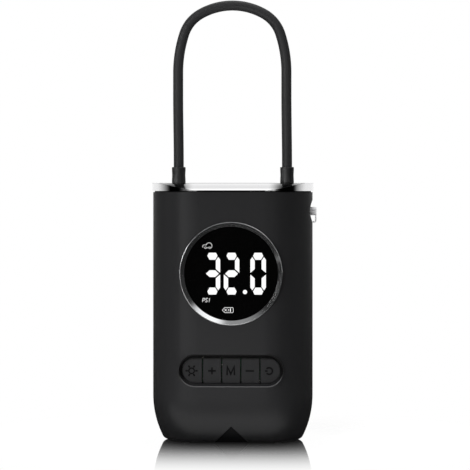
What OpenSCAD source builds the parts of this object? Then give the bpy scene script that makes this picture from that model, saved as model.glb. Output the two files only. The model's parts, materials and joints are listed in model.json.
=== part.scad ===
// Portable tire inflator with a stowed hose. Millimetres, +Z up, the display faces -Y.
// The origin is the middle of the rubber pad that the inflator stands on.

/* [Housing] */
// Distance from a cell's end to the housing's side, which sets the housing's width
end_room = 5.65; // [5.4:0.05:14]
// Distance from the cradle's back to the main board, which sets the housing's depth
layer_gap = 2; // [1.8:0.1:6]
// Distance from the pump's bolts to the deck, which sets the housing's height
top_room = 1.2; // [0.8:0.1:12]
// Thickness of the shells' walls
wall = 2; // [1.6:0.1:2.2]
// Height at which the sides start to draw in towards the foot
foot_rise = 21.5; // [16:0.5:24]
// Radius of the arc along which the sides draw in
foot_arc_r = 44; // [40:1:90]
// Radius of the rounded lower edge
foot_round = 2.5; // [1:0.25:3]
// Distance of the joint between the shells behind the middle
parting_y = 6; // [5.5:0.5:8]
// Depth of the lip that the rear shell pushes into the front shell
lip_depth = 2; // [1:0.25:3]
// Height and half width of the triangular notch in the foot
notch_h = 8.4; // [5:0.2:10]
// Depth of the black tongue in the notch below the shell's surface
notch_set = 0.8; // [0.4:0.1:1.2]
// General clearance between pieces that push together
fit = 0.15; // [0.1:0.01:0.2]

/* [Foot] */
// Distance of the rubber pad's underside below the shells
foot_gap = 0.5; // [0.3:0.1:1]
// Thickness of the base cover
base_t = 2.7; // [2.4:0.1:3]
// Thickness of the rubber pad
pad_t = 1.3; // [1.1:0.1:1.5]
// Half depth of the rubber pad
pad_r = 9.4; // [8:0.2:9.6]
// Distance of the base screws from the housing's sides
base_screw_in = 16.25; // [15.5:0.25:18]
// Distance of the base screws from the middle, front to back
base_screw_y = 10.4; // [10.2:0.1:10.6]

/* [Metal top] */
// Height of the metal plate at its crest
plate_t = 3.8; // [3.6:0.1:6]
// Distance by which the plate overhangs the shells
plate_over = 0.45; // [0:0.05:1]
// Half depth of the level middle of the plate
crown_flat = 12; // [10.5:0.5:14]
// Radius of the plate's front and back slopes
crown_r = 20.6; // [20:0.2:40]
// Thickness of the dark joint between the shells and the plate
joint_t = 0.5; // [0.3:0.1:1]
// Distance by which the dark joint is set in from the shells
joint_set = 0.8; // [0.3:0.1:1.2]
// Depth of the deck inside the shells
deck_t = 3.5; // [3:0.25:4]
// Distance of the lamp behind the middle
lamp_y = 4; // [2:0.5:5]
// Radius of the lamp's window
lamp_r = 6.4; // [4:0.2:7]

/* [Hose] */
// Gap between the stowage tube and the eyelet's inner end, which sets the ports' distance from the sides
port_room = 0.55; // [0.4:0.05:2]
// Outer diameter of the hose
hose_d = 4.85; // [4:0.05:5.5]
// Bore of the hose
hose_bore = 2.2; // [1.6:0.1:2.6]
// Height of the straight legs' upper end above the plate
leg_h = 53.1; // [30:0.5:80]
// Angle and radius of the gentle bend above each leg
side_a = 18; // [10:1:24]
// Radius of the gentle bend above each leg
side_r = 60; // [40:1:80]
// Angle of the hose's shoulder
shoulder_a = 42; // [30:1:48]
// Radius of the hose's shoulder
shoulder_r = 17; // [12:0.5:20]
// Outer radius of the crimped collars
collar_r = 3.3; // [3:0.1:3.8]
// Length of the crimped collars
collar_l = 7.6; // [5:0.2:12]

/* [Chuck] */
// Radius of the grip at the head of the chuck
grip_r = 6; // [5.6:0.1:6.4]
// Length of the grip
grip_l = 7; // [6:0.5:8]
// Outer radius of the screw-on nut
nut_r = 5.2; // [5:0.1:5.4]
// Length of the screw-on nut
nut_l = 17; // [16:0.5:18]
// Radius of the nut's bore, which goes over a tyre valve's thread
valve_r = 3.95; // [3.9:0.05:4]
// Length of the nut's threaded bore
thread_l = 7; // [6:0.5:8]
// Radius of the chuck's stem and of the outlet nipple
stem_r = 2.3; // [2:0.1:2.4]
// Radius of the air channel in the stem, the nipple and their barbs
air_r = 0.6; // [0.4:0.05:0.7]
// Gap between the stowage tube and the nut
stow_gap = 1; // [0.8:0.1:1.1]
// Free space under the stowed chuck
stow_room = 5.6; // [5:0.2:7]
// Wall of the stowage tube
stow_wall = 1.2; // [1:0.1:1.3]

/* [Display] */
// Distance of the display's centre below the shells' upper edge
display_drop = 38.3; // [37:0.1:40]
// Outer radius of the bezel ring
bezel_r = 24.25; // [22.5:0.25:25]
// Width of the ring as seen from the front
bezel_w = 2.15; // [1.5:0.05:3]
// Distance by which the ring stands proud of the front
bezel_proud = 0.5; // [0.2:0.1:1]
// Depth of the window's face below the front
window_set = 1; // [0.8:0.1:1.2]
// Thickness of the window
window_t = 1.5; // [1:0.1:1.6]
// Depth of the seat that carries the ring
bezel_seat = 4; // [3.8:0.1:4.4]

/* [Keys] */
// Height of the keys' centre line
keys_z = 34.6; // [34:0.2:35.4]
// Number of keys
key_count = 5; // [5]
// Distance between neighbouring keys
key_pitch = 9; // [8.6:0.1:9.2]
// Height of the keys
key_h = 11.8; // [10:0.2:12]
// Gap between neighbouring keys
key_gap = 0.7; // [0.5:0.05:0.9]
// Depth of the keys' faces below the front
key_set = 2.6; // [2:0.1:2.8]
// Travel of a key
key_travel = 0.6; // [0.4:0.05:0.7]
// Width of the slope round the keys
key_slope = 1.4; // [0.8:0.1:1.6]

/* [Main board] */
// Depth of the board's face below the front
board_set = 8.4; // [8.2:0.1:8.6]
// Thickness of the main board
board_t = 1.6; // [1:0.1:1.7]
// Distance of the main board's edges from the housing's sides
board_in = 14.25; // [13.5:0.25:15]
// Distance of the board's screws from its edges
post_in = 3.5; // [3:0.1:4]

/* [Battery] */
// Radius of a cell
cell_r = 9.2; // [9:0.05:9.25]
// Length of a cell
cell_l = 65.2; // [60:0.2:65.6]
// Distance of the lower cell's axis below the height where the sides draw in
cell_drop = 6.3; // [5.8:0.1:6.4]
// Gap between the two cells
cell_gap = 0.6; // [0.4:0.1:1.2]
// Thickness of the cradle's back
cradle_t = 1.4; // [1:0.1:1.6]
// Gap between the cells and the cradle's back
cradle_gap = 0.4; // [0.3:0.1:0.8]

/* [Motor and gears] */
// Distance of the motor's and pump's axes behind the middle
axis_y = 3.5; // [3.2:0.1:3.8]
// Radius of the motor's can
motor_r = 12.2; // [11.8:0.1:12.3]
// Length of the motor's can
motor_l = 27; // [24:0.5:29]
// Gear module
gear_m = 0.6; // [0.6]
// Teeth of the motor's pinion
pinion_teeth = 12; // [12]
// Teeth of the crank gear
crank_teeth = 42; // [42]
// Width of both gears
gear_w = 4; // [3:0.25:4.2]
// Backlash between the teeth
backlash = 0.1; // [0.08:0.01:0.16]

/* [Pump] */
// Gap between the cylinder's fins and the shell
pump_gap = 0.58; // [0.5:0.02:1]
// Bore radius of the cylinder
bore_r = 8.5; // [8:0.1:8.6]
// Crank throw, half of the piston's stroke
throw_r = 5.5; // [4.5:0.1:5.6]
// Length of the connecting rod between its eyes
rod_l = 22; // [21.8:0.1:22.6]
// Thickness of the connecting rod
rod_t = 4; // [3:0.25:4.2]
// Radius of the crank pin, the crank shaft and the wrist pin
pin_r = 1.5; // [1.3:0.05:1.6]
// Running clearance of a shaft in its bore
run = 0.03; // [0.02:0.01:0.05]
// Thickness of the frame's upright plate
frame_t = 4; // [3.6:0.1:4.4]
// Thickness of the frame's shelf
shelf_t = 2.6; // [2:0.1:3]
// Height of the cylinder head
head_t = 4.6; // [4:0.1:5]

/* [Charging] */
// Distance of the charging board's underside below the middle of the two cells
charge_drop = 2.5; // [2:0.1:2.6]
// Width of the charging socket
socket_w = 8.94; // [8.94]
// Height of the charging socket
socket_h = 3.26; // [3.26]

/* [Eyelet] */
// Distance of the eyelet's post below the shells' upper edge
eyelet_below = 9.1; // [8:0.1:11]
// Radius of the eyelet's post
eyelet_r = 2; // [1.5:0.1:2.2]
// Distance by which the eyelet stands out from the side
eyelet_out = 1.85; // [1.6:0.05:3]
// Thickness of the eyelet's bar
eyelet_t = 0.7; // [0.6:0.05:1]
// Length of the eyelet's bar below the post's centre
eyelet_drop = 5.5; // [4.5:0.1:6]
// Depth of the scoop in the shell's side
scoop = 1.15; // [0.6:0.05:1.2]
// Radius of the scoop
scoop_r = 12.7; // [8:0.1:16]

/* [Screws] */
// Radius of a screw's shank
screw_r = 1.2; // [1:0.05:1.25]
// Radius of a screw's head
screw_head_r = 2.2; // [2:0.1:2.25]
// Height of a screw's head
screw_head_h = 1.4; // [1.1:0.1:1.5]
// Outer radius of a screw boss
boss_r = 3; // [2.8:0.1:3.1]

/* [Hidden] */
$fn = 96;

// Housing: its width and depth go round the cells, the cradle and the main board
body_w = cell_l + 2*end_room;
body_d = 2*(cell_r + cradle_gap + cradle_t + layer_gap + board_t + board_set);
front_y = -body_d/2;
flat = body_w/2 - body_d/2;
side_x = body_w/2;
inner_r = body_d/2 - wall;
base_top = foot_gap + base_t;
base_boss = base_top + 6.8;
base_boss_r = screw_r + 1.2;
base_screw_x = side_x - base_screw_in;
boss_gap = 0.2;

// Battery
cell_low = foot_rise - cell_drop;
cell_high = cell_low + 2*cell_r + cell_gap;
cell_top = cell_high + cell_r;
saddle_x = 14;
saddle_w = 4;
cradle_y = -cell_r - cradle_gap - cradle_t;
cradle_half = side_x - 10.25;

// Motor, crank and pump, from the battery upwards
motor_z = cell_top + 1.4 + motor_r;
crank_z = motor_z + (pinion_teeth + crank_teeth)/2*gear_m;
shift = 0.4;
gear_top = crank_z + gear_m*(crank_teeth/2 + 1 - shift);
barrel_wall = 1.2;
barrel_r = bore_r + barrel_wall;
fin_r = barrel_r + 1.3;
rod_x = -flat - sqrt(pow(inner_r - fin_r - pump_gap, 2) - pow(axis_y, 2));
gear_right = rod_x + rod_t/2 + 1 + gear_w;
frame_left = gear_right + 1;
frame_right = frame_left + frame_t;
small_eye = pin_r + 1.6;
bush_r = pin_r + 1.3;
big_eye = bush_r + 1.4;
eye_z = crank_z + throw_r;
wrist_z = eye_z + rod_l;
skirt = 2.4;
crown_z = wrist_z + small_eye + 2.2;
shelf_z = gear_top + 0.8;
seat_z = shelf_z + shelf_t;
flange_t = 1.8;
cylinder_top = crown_z + 0.4;
gasket_t = 0.4;
valve_plate_t = 1.2;
head_z = cylinder_top + gasket_t + valve_plate_t;
head_top = head_z + head_t;
bolt_ring = fin_r + 1.4;
bolt_r = 1.1;
bolt_head = 1.2;
lug_r = 2.4;
bolt_angles = [0, 90, -90];
bearing_r = 5;
motor_screw_off = 8;
motor_boss_r = 5;
axle_r = 1.15;
ears = [[frame_right + 4, shelf_z - 2.5], [frame_left - 4, motor_z - 6]];
ear_back = inner_r - 3;

// Top, above the pump
deck_z = head_top + bolt_head + top_room;
shell_h = deck_z + deck_t;
top_z = shell_h + joint_t;
crest_z = top_z + plate_t;

// Display, keys and main board, from the front backwards
display_z = shell_h - display_drop;
window_r = bezel_r - bezel_w;
seat_y = front_y + bezel_seat;
window_y = front_y + window_set;
board_y = front_y + board_set;
module_r = window_r - 1.8;
well_wall = 2;
well_y = seat_y + 2;
board_x = side_x - board_in;
board_low = keys_z - 15.4;
board_high = display_z + 25.3;
post_x = board_x - post_in;
post_low = keys_z - 12.3;
post_high = display_z + 21.8;
post_r = 2.5;
key_r = key_h/2;
key_half = (key_count - 1)/2*key_pitch - 1;
key_play = 0.3;
key_face = front_y + key_set;
switch_h = 1.5;
plunger_h = 0.5;
plunger_r = 1;
key_back = board_y - switch_h - plunger_h - key_travel - 0.05;
key_flange = 0.65;
pan_y = key_back - key_flange - 0.1;
pan_wall = 2;

// Ports, hose and chuck
eyelet_z = shell_h - eyelet_below;
eyelet_in = 2.3;
stow_r = nut_r + stow_gap;
stow_out = stow_r + stow_wall;
port_x = side_x - wall - eyelet_in - port_room - stow_out;
hose_r = hose_d/2;
hair = 0.02;
hose_z = crest_z + 0.9;
leg_z = crest_z + leg_h;
crown_a = 90 - side_a - shoulder_a;
crown_hose_r = (port_x - side_r*(1 - cos(side_a)) - shoulder_r*(cos(side_a) - sin(crown_a)))/sin(crown_a);
barb_r = hose_bore/2 - 0.02;
barb_top = hose_z + 5.5;
grip_z = crest_z - 0.1 - grip_l;
nut_top = grip_z - 0.4;
nut_z = nut_top - nut_l;
nut_roof = 1.6;
relief_r = valve_r + 0.2;
stem_foot = nut_top - nut_roof - 0.1;
flange_h = 2;
seal_h = 2;
hex_t = 3;
stow_z = nut_z - stow_room;
port_gap = 0.3;

// Charging socket
charge_z = (cell_low + cell_high)/2 - charge_drop;
ledge_t = 2.2;
charge_t = 1;
charge_front = cell_r + 0.4;
socket_z = charge_z + charge_t + socket_h/2;
socket_y = body_d/2 - 0.8;
socket_l = 7.3;

// Screws that join the shells: place sideways and height
case_points = [[0, top_z - 9.8], [-side_x + 7.25, cell_top + 5.6], [side_x - 7.25, cell_top + 5.6]];
case_seat = parting_y + 5;
case_screw_l = 12;
plate_screws = [for (x = [-1, 1]) for (y = [-1, 1]) [x*12, y*13]];

shell_dark = "#2b2c2e";
cover_black = "#0d0d0e";
polished = "#d9dadc";

// Helpers
// Half of the housing's upright section: straight sides that draw in along an arc at the foot
module side_profile(inset, bottom, top, edge = 0) {
    arc_u = body_d/2 - foot_arc_r;
    edge_u = arc_u + sqrt(pow(foot_arc_r - edge, 2) - pow(foot_rise - bottom - edge, 2));
    outward = [edge_u - arc_u, bottom + edge - foot_rise]/(foot_arc_r - edge);
    difference() {
        intersection() {
            translate([0, bottom]) square([body_d, top - bottom]);
            union() {
                translate([0, foot_rise]) square([body_d/2 - inset, top]);
                translate([arc_u, foot_rise]) circle(foot_arc_r - inset, $fn = 360);
            }
        }
        if (edge > 0) translate([edge_u, bottom + edge]) difference() {
            polygon([[0, 0], [0, -3*edge], [3*edge, -3*edge], 3*edge*outward]);
            circle(edge);
        }
    }
}

// The section carried along the straight front and back and round both ends
module around() {
    translate([-flat, 0, 0]) rotate([90, 0, 90]) linear_extrude(2*flat) {
        children();
        mirror([1, 0]) children();
    }
    for (side = [-1, 1])
        translate([side*flat, 0, 0]) rotate([0, 0, -side*90]) rotate_extrude(angle = 180) children();
}

module outer_body() around() side_profile(0, foot_gap, shell_h, foot_round);

module wall_ring(outer, inner) difference() {
    around() side_profile(outer, foot_gap, shell_h, outer == 0 ? foot_round : 0);
    around() side_profile(inner, foot_gap - 1, shell_h + 1);
}

// Outline with straight long sides and round ends
module pill(half, r) {
    square([2*half, 2*r], center = true);
    for (side = [-1, 1]) translate([side*half, 0]) circle(r);
}

// An X-Z outline that reaches from one depth to another
module facing(front, back) translate([0, back, 0]) rotate([90, 0, 0]) linear_extrude(back - front) children();

// A Y-Z outline that reaches from one side to another
module across(left, right) translate([left, 0, 0]) rotate([90, 0, 90]) linear_extrude(right - left) children();

module cyl_y(r, front, back) translate([0, back, 0]) rotate([90, 0, 0]) cylinder(h = back - front, r = r);

module cyl_x(r, left, right) translate([left, 0, 0]) rotate([0, 90, 0]) cylinder(h = right - left, r = r);

module cyl_z(r, low, high) translate([0, 0, low]) cylinder(h = high - low, r = r);

module ring_z(outer, inner, low, high) difference() {
    cyl_z(outer, low, high);
    cyl_z(inner, low - 1, high + 1);
}

module before(y) translate([-body_w, y - 2*body_d, -10]) cube([2*body_w, 2*body_d, 2*shell_h]);

module behind(y) translate([-body_w, y, -10]) cube([2*body_w, 2*body_d, 2*shell_h]);

// Screw along +Z with its head's seat at z = 0 and its shank above
module screw(l) {
    cyl_z(screw_head_r, -screw_head_h, 0);
    cyl_z(screw_r, -0.01, l);
}

module at_pump() translate([rod_x, axis_y, 0]) children();

module at_base_screws() for (x = [-1, 1]) for (y = [-1, 1])
    translate([x*base_screw_x, y*base_screw_y, 0]) children();

// Two bosses of the foot, each with a rib to the shell's wall
module base_boss_pair(side) for (x = [-1, 1]) translate([x*base_screw_x, side*base_screw_y, 0]) {
    cyl_z(base_boss_r, base_top, base_boss);
    translate([-1, side > 0 ? 0 : -wall - 10, base_top]) cube([2, wall + 10, base_boss - base_top]);
}

module at_posts() for (x = [-1, 1]) for (z = [post_low, post_high]) translate([x*post_x, 0, z]) children();

module bolt_lugs(low, high) for (a = bolt_angles)
    rotate([0, 0, a]) {
        translate([bolt_ring, 0, 0]) cyl_z(lug_r, low, high);
        translate([barrel_r - 0.5, -lug_r, low]) cube([bolt_ring - barrel_r + 0.5, 2*lug_r, high - low]);
    }

module bolt_holes(low, high) for (a = bolt_angles) rotate([0, 0, a])
    translate([bolt_ring, 0, 0]) cyl_z(bolt_r + 0.05, low, high);

module scoop_cut() translate([side_x - scoop + scoop_r, 0, eyelet_z]) cyl_y(scoop_r, -body_d, body_d);

// Housing pieces
module front_shell() color(shell_dark) difference() {
    intersection() {
        union() {
            difference() {
                wall_ring(0, wall);
                behind(parting_y);
            }
            translate([0, 0, display_z]) cyl_y(bezel_r + well_wall, front_y + wall/2, well_y);
            translate([0, 0, keys_z]) facing(front_y + wall/2, pan_y) pill(key_half, key_r + key_slope + pan_wall);
            at_posts() cyl_y(post_r, front_y + wall/2, board_y);
            for (p = case_points) translate([p[0], 0, p[1]]) cyl_y(boss_r, front_y, parting_y - boss_gap/2);
            base_boss_pair(-1);
            translate([0, 0, eyelet_z]) cyl_x(eyelet_r + 3, side_x - wall - 1, side_x);
        }
        outer_body();
    }
    display_cuts();
    key_cuts();
    front_holes();
    notch(0, foot_gap - 1);
    scoop_cut();
    translate([0, 0, eyelet_z]) cyl_x(eyelet_r + run, side_x - 2*wall, side_x + 1);
    difference() {
        wall_ring(wall/2 - fit, wall + 1);
        before(parting_y - lip_depth - fit);
        behind(parting_y + 1);
    }
}

module display_cuts() translate([0, 0, display_z]) {
    cyl_y(bezel_r + fit, front_y - 1, seat_y);
    cyl_y(module_r + 0.2, front_y, well_y + 1);
}

module key_cuts() translate([0, 0, keys_z]) {
    slope_front = key_face - 1;
    slope_back = key_face + 0.2;
    facing(front_y - 1, slope_front + 0.01) pill(key_half, key_r + key_play + key_slope);
    facing(slope_back - 0.01, pan_y + 1) pill(key_half, key_r + key_play);
    for (side = [-1, 1]) translate([side*key_half, slope_back, 0]) rotate([90, 0, 0])
        cylinder(h = slope_back - slope_front, r1 = key_r + key_play, r2 = key_r + key_play + key_slope);
    across(-key_half, key_half) polygon([
        [slope_front, -key_r - key_play - key_slope], [slope_front, key_r + key_play + key_slope],
        [slope_back, key_r + key_play], [slope_back, -key_r - key_play]
    ]);
}

module front_holes() {
    at_posts() cyl_y(screw_r + 0.02, front_y + wall + 1, board_y + 1);
    for (p = case_points) translate([p[0], 0, p[1]])
        cyl_y(screw_r + 0.02, case_seat - case_screw_l - 1, parting_y + 1);
    at_base_screws() cyl_z(screw_r + 0.02, base_top - 1, base_boss - 0.5);
}

// Triangle that points up from the table, drawn in by a margin
module notch(margin, low) facing(-body_d, 0) intersection() {
    polygon([[-notch_h + 1.4*margin, 0], [notch_h - 1.4*margin, 0], [0, notch_h - 1.4*margin]]);
    translate([-notch_h, low]) square([2*notch_h, notch_h - low]);
}

module rear_shell() color(shell_dark) difference() {
    intersection() {
        union() {
            difference() {
                wall_ring(0, wall);
                before(parting_y);
            }
            difference() {
                wall_ring(wall/2, wall);
                before(parting_y - lip_depth);
                behind(parting_y + 1);
            }
            for (p = case_points) translate([p[0], 0, p[1]]) cyl_y(boss_r, parting_y + boss_gap/2, body_d/2);
            base_boss_pair(1);
            for (e = ears) translate([e[0], 0, e[1]]) cyl_y(boss_r, ear_back, body_d/2);
            for (side = [-1, 1]) translate([side*7.5 - 1.5, charge_front + 3.4, charge_z - ledge_t])
                cube([3, inner_r + wall/2 - charge_front - 3.4, ledge_t]);
        }
        outer_body();
    }
    for (p = case_points) translate([p[0], 0, p[1]]) {
        cyl_y(screw_r + 0.1, parting_y - 1, body_d);
        cyl_y(screw_head_r + 0.3, case_seat, body_d);
    }
    for (e = ears) translate([e[0], 0, e[1]]) cyl_y(screw_r + 0.02, ear_back - 1, body_d/2 - wall);
    at_base_screws() cyl_z(screw_r + 0.02, base_top - 1, base_boss - 0.5);
    air_slots();
    translate([0, 0, socket_z]) {
        facing(body_d/2 - wall - 1, body_d) pill((socket_w - socket_h)/2, socket_h/2 + 0.25);
        facing(body_d/2 - 0.5, body_d) pill((socket_w - socket_h)/2 + 0.4, socket_h/2 + 1.2);
    }
    scoop_cut();
}

// Two groups of level slots that let air in beside the pump
module air_slots() for (side = [-1, 1]) for (i = [0:7])
    translate([side*(port_x - 6.5), 0, display_z - 14 + i*4]) facing(parting_y + 1, body_d) pill(5.6, 0.8);

module base_cover() color(cover_black) difference() {
    union() {
        around() side_profile(wall + fit, foot_gap, base_top);
        intersection() {
            difference() {
                around() side_profile(notch_set, foot_gap, notch_h);
                around() side_profile(wall + 2, foot_gap - 1, notch_h + 1);
            }
            notch(fit, foot_gap);
        }
    }
    translate([0, 0, foot_gap - 1]) linear_extrude(pad_t - foot_gap + 1) pill(flat, pad_r + fit);
    at_base_screws() {
        cyl_z(screw_r + 0.1, foot_gap - 1, base_top + 1);
        cyl_z(screw_head_r + 0.2, foot_gap - 1, foot_gap + screw_head_h + 0.2);
    }
}

module foot_pad() color(cover_black) difference() {
    linear_extrude(pad_t) pill(flat, pad_r);
    for (i = [-3:2]) translate([i*6 + 3, 0, -1]) linear_extrude(1.4) rotate([0, 0, 90]) pill(pad_r - 3.5, 0.6);
}

module top_deck() color(cover_black) difference() {
    union() {
        around() side_profile(wall + fit, deck_z, shell_h);
        around() side_profile(joint_set, shell_h, top_z);
    }
    translate([-port_x, 0, 0]) cyl_z(stem_r + 2.3, deck_z - 1, top_z + 1);
    translate([port_x, 0, 0]) cyl_z(stow_out + fit, deck_z - 1, top_z + 1);
    translate([0, lamp_y, 0]) {
        cyl_z(lamp_r - 1, deck_z - 1, top_z + 1);
        cyl_z(lamp_r + 1.1, top_z - 1.5, top_z + 1);
    }
    for (p = plate_screws) translate([p[0], p[1], 0]) cyl_z(screw_r + 0.1, deck_z - 1, top_z + 1);
}

module top_plate() color(polished) difference() {
    intersection() {
        translate([0, 0, top_z]) linear_extrude(plate_t + 1) pill(flat, body_d/2 + plate_over);
        across(-body_w, body_w) {
            translate([-crown_flat, top_z]) square([2*crown_flat, plate_t]);
            for (side = [-1, 1]) translate([side*crown_flat, crest_z - crown_r]) intersection() {
                circle(crown_r, $fn = 360);
                translate([-crown_r, crown_r - plate_t]) square([2*crown_r, plate_t]);
            }
        }
    }
    translate([port_x, 0, 0]) cyl_z(grip_r + port_gap, top_z - 1, crest_z + 1);
    translate([-port_x, 0, 0]) cyl_z(stem_r + 0.4, top_z - 1, crest_z + 1);
    translate([0, lamp_y, 0]) cyl_z(lamp_r + fit, top_z - 1, crest_z + 1);
    for (p = plate_screws) translate([p[0], p[1], 0]) cyl_z(screw_r + 0.02, top_z - 1, top_z + 2.2);
}

module lamp_lens() color("#f4f2e8") translate([0, lamp_y, 0]) {
    cyl_z(lamp_r, top_z - 0.1, crest_z - 0.05);
    cyl_z(lamp_r + 1, top_z - 1.5, top_z - 0.1);
}

module lamp_board() {
    color("#e9e9e4") translate([0, lamp_y, 0]) cyl_z(lamp_r + 1.6, deck_z - 1.2, deck_z);
    color("#f2d65c") translate([-1.7, lamp_y - 1.7, deck_z]) cube([3.4, 3.4, 1.4]);
}

// Display
module display_bezel() color(polished) translate([0, 0, display_z]) rotate([90, 0, 0]) rotate_extrude() polygon([
    [bezel_r, -seat_y], [bezel_r, bezel_proud - front_y], [bezel_r - 0.35, bezel_proud - front_y],
    [window_r, -window_y + 0.4], [window_r, -seat_y]
]);

module display_window() color("#050506") translate([0, 0, display_z])
    cyl_y(window_r - 0.1, window_y, window_y + window_t);

module display_gasket() color("#3a3a3c") translate([0, 0, display_z]) difference() {
    cyl_y(window_r - 0.1, window_y + window_t, seat_y);
    cyl_y(module_r + 0.3, window_y, seat_y + 1);
}

module display_module() color("#dcdcd6") translate([0, 0, display_z]) {
    cyl_y(module_r, window_y + window_t + 0.1, board_y);
}

// Keys
module key_cap(i) translate([0, 0, keys_z]) {
    first = -(key_half + key_r);
    from = i == 0 ? first : (i - key_count/2)*key_pitch + key_gap/2;
    to = i == key_count - 1 ? -first : (i + 1 - key_count/2)*key_pitch - key_gap/2;
    facing(key_face, key_back) intersection() {
        pill(key_half, key_r);
        translate([from, -key_r]) square([to - from, 2*key_r]);
    }
    facing(key_back - key_flange, key_back) intersection() {
        pill(key_half, key_r + key_play + 0.6);
        translate([i == 0 ? first + 3 : from, -2*key_r])
            square([(i == key_count - 1 ? to - 3 : to) - (i == 0 ? first + 3 : from), 4*key_r]);
    }
}

module key_lamp() color(shell_dark) key_cap(0);

module key_plus() color(shell_dark) key_cap(1);

module key_mode() color(shell_dark) key_cap(2);

module key_minus() color(shell_dark) key_cap(3);

module key_power() color(shell_dark) key_cap(4);

module key_switches() color("#b9b9b4") for (i = [0:key_count - 1])
    translate([(i - (key_count - 1)/2)*key_pitch, 0, keys_z]) {
        translate([-1.5, board_y - switch_h, -2]) cube([3, switch_h, 4]);
        cyl_y(plunger_r, board_y - switch_h - plunger_h, board_y - switch_h);
    }

// Boards
module main_board() color("#1d5b3a") difference() {
    translate([-board_x, board_y, board_low]) cube([2*board_x, board_t, board_high - board_low]);
    at_posts() cyl_y(screw_r + 0.1, board_y - 1, board_y + board_t + 1);
}

module board_screws() color("#9a9da1") at_posts()
    translate([0, board_y + board_t, 0]) rotate([90, 0, 0]) screw(6);

module charge_board() color("#1d5b3a") translate([-9, charge_front, charge_z])
    cube([18, inner_r - 0.8 - charge_front, charge_t]);

module charge_socket() color("#b8bbc0") translate([0, 0, socket_z]) {
    difference() {
        facing(socket_y - socket_l, socket_y) pill((socket_w - socket_h)/2, socket_h/2);
        facing(socket_y - 6, socket_y + 1) pill((socket_w - socket_h)/2, socket_h/2 - 0.3);
    }
    translate([-3.25, socket_y - 6, -0.35]) cube([6.5, 5, 0.7]);
}

// Battery
module cells() color("#3f6fa8") for (z = [cell_low, cell_high]) translate([0, 0, z]) {
    cyl_x(cell_r, -cell_l/2, cell_l/2 - 0.6);
    cyl_x(3, cell_l/2 - 0.6, cell_l/2);
}

module cell_cradle() color(cover_black) difference() {
    union() {
        translate([-cradle_half, cradle_y, base_boss + 0.8]) cube([2*cradle_half, cradle_t, cell_top - base_boss - 1.3]);
        for (side = [-1, 1]) translate([side*saddle_x - saddle_w/2, cradle_y + cradle_t, base_top])
            cube([saddle_w, -cradle_y - cradle_t + 1, cell_top - base_top - 0.5]);
    }
    for (z = [cell_low, cell_high]) translate([0, 0, z]) cyl_x(cell_r + fit, -cell_l, cell_l);
}

module cell_tabs() color("#c9ccd0") {
    translate([-cell_l/2 - 0.3, -3.5, cell_low - 3]) cube([0.3, 7, cell_high - cell_low + 6]);
    for (z = [cell_low, cell_high]) translate([cell_l/2, -3.5, z - 3]) cube([0.3, 7, 6]);
}

// Motor
module motor_can() color("#a4a7ab") translate([0, axis_y, motor_z]) difference() {
    union() {
        cyl_x(motor_r, frame_right, frame_right + motor_l);
        cyl_x(motor_boss_r - 0.1, frame_left + 1, frame_right + 1);
    }
    cyl_x(motor_r - 1.2, frame_right + 1.2, frame_right + motor_l + 1);
    cyl_x(axle_r + run, frame_left, frame_right + 2);
    for (side = [-1, 1]) translate([0, side*motor_screw_off, 0]) cyl_x(screw_r + 0.02, frame_right - 1, frame_right + 2);
}

module motor_magnets() color("#4b4c50") translate([0, axis_y, motor_z]) difference() {
    cyl_x(motor_r - 1.25, frame_right + 3, frame_right + motor_l - 3);
    cyl_x(motor_r - 2.7, frame_right, frame_right + motor_l);
    for (side = [-1, 1]) translate([frame_right, side*motor_r - 3, -motor_r]) cube([motor_l, 6, 2*motor_r]);
}

module motor_cap() color(cover_black) translate([0, axis_y, motor_z]) difference() {
    union() {
        cyl_x(motor_r - 0.4, frame_right + motor_l, frame_right + motor_l + 2.4);
        cyl_x(3.4, frame_right + motor_l, frame_right + motor_l + 4);
        for (side = [-1, 1]) translate([frame_right + motor_l + 2, side*7 - 1.5, -0.3]) cube([4, 3, 0.6]);
    }
    cyl_x(axle_r + run, frame_right + motor_l - 1, frame_right + motor_l + 3);
}

module motor_screws() color("#9a9da1") for (side = [-1, 1])
    translate([frame_left, axis_y + side*motor_screw_off, motor_z]) rotate([0, 90, 0]) screw(frame_t + 1.2);

module rotor() color("#a8683a") translate([0, axis_y, motor_z]) difference() {
    union() {
        cyl_x(motor_r - 3.1, frame_right + 5, frame_right + motor_l - 6);
        cyl_x(3, frame_right + motor_l - 6, frame_right + motor_l - 1);
    }
    cyl_x(axle_r + 0.01, frame_right, frame_right + motor_l);
}

module motor_shaft() color("#c9ccd0") translate([0, axis_y, motor_z])
    cyl_x(axle_r, gear_right - gear_w - 0.4, frame_right + motor_l + 2.6);

// Gears: polar half-angle of a tooth at a radius, on an involute flank
function roll(base, r) = sqrt(max(0, pow(r/base, 2) - 1))*180/PI;
function flank(base, r) = roll(base, r) - acos(min(1, base/r));
function polar(r, a) = [r*cos(a), r*sin(a)];
pressure_a = 20;
flank_steps = 3;

module gear_outline(teeth, move) {
    pitch = gear_m*teeth/2;
    base = pitch*cos(pressure_a);
    tip = pitch + gear_m*(1 + move);
    root = pitch - gear_m*(1.25 - move);
    start = max(base, root);
    thick = gear_m*(PI/2 + 2*move*tan(pressure_a)) - backlash/2;
    half = thick/2/pitch*180/PI + flank(base, pitch);
    radii = [for (i = [0:flank_steps]) start + (tip - start)*i/flank_steps];
    polygon([for (t = [0:teeth - 1]) let (a = 90 + t*360/teeth) each concat(
        [polar(root, a - half)],
        [for (r = radii) polar(r, a - half + flank(base, r))],
        [for (i = [flank_steps:-1:0]) polar(radii[i], a + half - flank(base, radii[i]))],
        [polar(root, a + half)]
    )]);
}

module drive_pinion() color("#c8a24a") translate([0, axis_y, motor_z]) difference() {
    across(gear_right - gear_w, gear_right) gear_outline(pinion_teeth, shift);
    cyl_x(axle_r + 0.01, gear_right - 10, gear_right + 10);
}

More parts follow.
